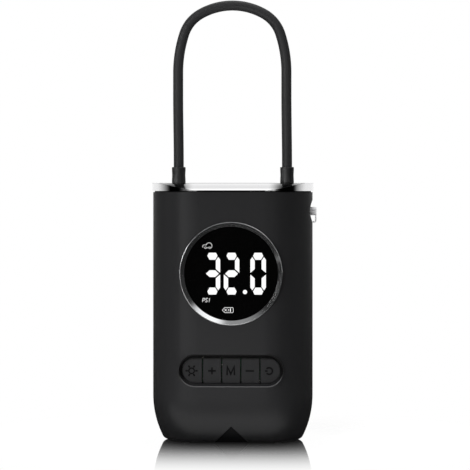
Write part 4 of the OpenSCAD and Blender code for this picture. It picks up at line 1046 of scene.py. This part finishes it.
# the world: heights are the direction's z, and its heading is ahead, 1 straight behind the object and -1 in
# front, and side, 1 to the right and -1 to the left; each pair is where a fade begins and ends
studio = {
    "white": 1.0,
    "surround": 0.18, "behind": 1.1, "behindFrom": (0.1, 0.6),      # a grey for the rest, brighter behind
    # white behind: a sheet from well above the eye down to it, and a narrow ring at eye level round the sides
    "sheet": {"ahead": (0.45, 0.75), "height": (0.16, 0.3), "light": 1.15, "fall": 0.35},
    "ring": {"height": (0.015, 0.032), "ahead": (-0.3, -0.1), "light": 0.95},
    # round patches: the middle's direction, and the angles from it at which they end and are full
    "zenith": {"middle": (0.0, 0.1, 1.0), "outer": 30, "inner": 10, "light": 0.8},
    "high": {"middle": (0.43, -0.42, 0.80), "outer": 24, "inner": 10, "light": 0.95},
    "broad": {"middle": (0.0, -0.30, 0.95), "outer": 48, "inner": 12, "light": 0.27},
    # two upright softboxes to the left with a gap between
    "tall": ((0.07, 0.13), (0.3, 0.4)),
    "leftNear": {"ahead": (-0.66, -0.61), "side": (-0.62, -0.5), "light": 6.0},
    "leftFar": {"ahead": ((-0.32, -0.26), (-0.15, 0.0)), "side": (-0.8, -0.7), "light": 2.6},
    # a low wide one in front and a faint one above it, both with a gap in the middle
    "front": {"ahead": (-0.85, -0.75), "side": ((-0.56, -0.34), (0.4, 0.6)), "gap": ((-0.11, -0.08), (0.03, 0.06))},
    "frontLow": {"height": ((0.0, 0.01), (0.06, 0.1)), "light": 1.2},
    "frontHigh": {"height": ((0.1, 0.2), (0.4, 0.6)), "light": 0.3},
    "rest": 0.03, "brightest": 6.0,
}


def makeWorld(s):
    # white for the camera and the floor's sharp mirror; white behind and soft patches of light in front for
    # metal and gloss; for the rest a grey, brighter behind, where no lamp stands
    world = bpy.data.worlds.new("studio")
    bpy.context.scene.world = world
    p = Paint(world)
    x, y, z = p.axes("Generated")
    rays = p.node("LightPath")
    seen, sharp, glossy, through = (Field(p, rays.outputs["Is " + kind + " Ray"])
                                    for kind in ("Camera", "Singular", "Glossy", "Transmission"))

    def patch(k):
        # light within the inner angle of the patch's middle, and none beyond the outer one
        length = math.sqrt(sum(c * c for c in k["middle"]))
        near = x * (k["middle"][0] / length) + y * (k["middle"][1] / length) + z * (k["middle"][2] / length)
        return near.step(math.cos(math.radians(k["outer"])), math.cos(math.radians(k["inner"]))) * k["light"]

    level = (x * x + y * y).work("SQRT").work("MAXIMUM", 0.01)
    ahead, side = y / level, x / level
    rim = s["ring"]
    around = (1 - z.work("ABSOLUTE").step(*rim["height"])) * ahead.step(*rim["ahead"]) * rim["light"]
    sheet = ahead.step(*s["sheet"]["ahead"]) * z.step(*s["sheet"]["height"])
    tall = z.between(*s["tall"])
    near, far, front, low, high = (s[k] for k in ("leftNear", "leftFar", "front", "frontLow", "frontHigh"))
    leftNear = (1 - ahead.step(*near["ahead"])) * (1 - side.step(*near["side"])) * tall * near["light"]
    leftFar = ahead.between(*far["ahead"]) * (1 - side.step(*far["side"])) * tall * far["light"]
    wide = (1 - ahead.step(*front["ahead"])) * side.between(*front["side"]) * (1 - side.between(*front["gap"]))
    before = wide * (z.between(*low["height"]) * low["light"] + z.between(*high["height"]) * high["light"])
    soft = patch(s["high"]) + patch(s["broad"]) + before + leftNear + leftFar + s["rest"]
    behind = (sheet * (s["sheet"]["light"] - z * s["sheet"]["fall"])).work("MAXIMUM", around)
    pattern = behind + (1 - sheet) * soft + patch(s["zenith"])
    none = p.light(0.0, "Background")
    grey = s["surround"] / 2 + y.step(*s["behindFrom"]) * s["behind"] / 2
    dim = p.either(grey, none, p.light(2.0, "Background"))
    patches = p.either(pattern / s["brightest"], none, p.light(s["brightest"], "Background"))
    unseen = p.either(glossy.work("MAXIMUM", through), dim, patches)
    both = p.either(seen.work("MAXIMUM", sharp), unseen, p.light(s["white"], "Background"))
    p.node("OutputWorld", {}, {"Surface": both})


lamps = {
    "keySoftbox": {"place": (-0.45, -0.95, 0.75), "aim": (0, 0, 0.08), "size": (0.7, 0.7), "power": 8.6},
    "topSoftbox": {"place": (0.0, -0.1, 1.3), "aim": (0, 0, 0.08), "size": (0.9, 0.9), "power": 7.5},
    "footBounce": {"place": (-0.012, -0.1, 0.002), "aim": (-0.012, -0.1, 1.0), "size": (0.13, 0.1), "power": 0.09},
}


def makeLamp(name, k):
    # a soft area lamp at its place, looking at its aim; metal and gloss see the world's patches instead of it
    data = bpy.data.lights.new(name, "AREA")
    data.shape = "RECTANGLE"
    data.size, data.size_y = k["size"]
    data.energy = k["power"]
    lamp = bpy.data.objects.new(name, data)
    lamp.location = k["place"]
    towards = np.array(k["aim"]) - np.array(k["place"])
    flat = math.hypot(towards[0], towards[1])
    lamp.rotation_euler = (math.atan2(flat, -towards[2]), 0, math.atan2(towards[1], towards[0]) - math.pi / 2)
    lamp.visible_camera = False
    lamp.visible_glossy = False
    bpy.context.scene.collection.objects.link(lamp)


makeFloor(stage)
makeWorld(studio)
for name, values in lamps.items():
    makeLamp(name, values)
bpy.context.scene.view_settings.view_transform = "Standard"
print("stage made")
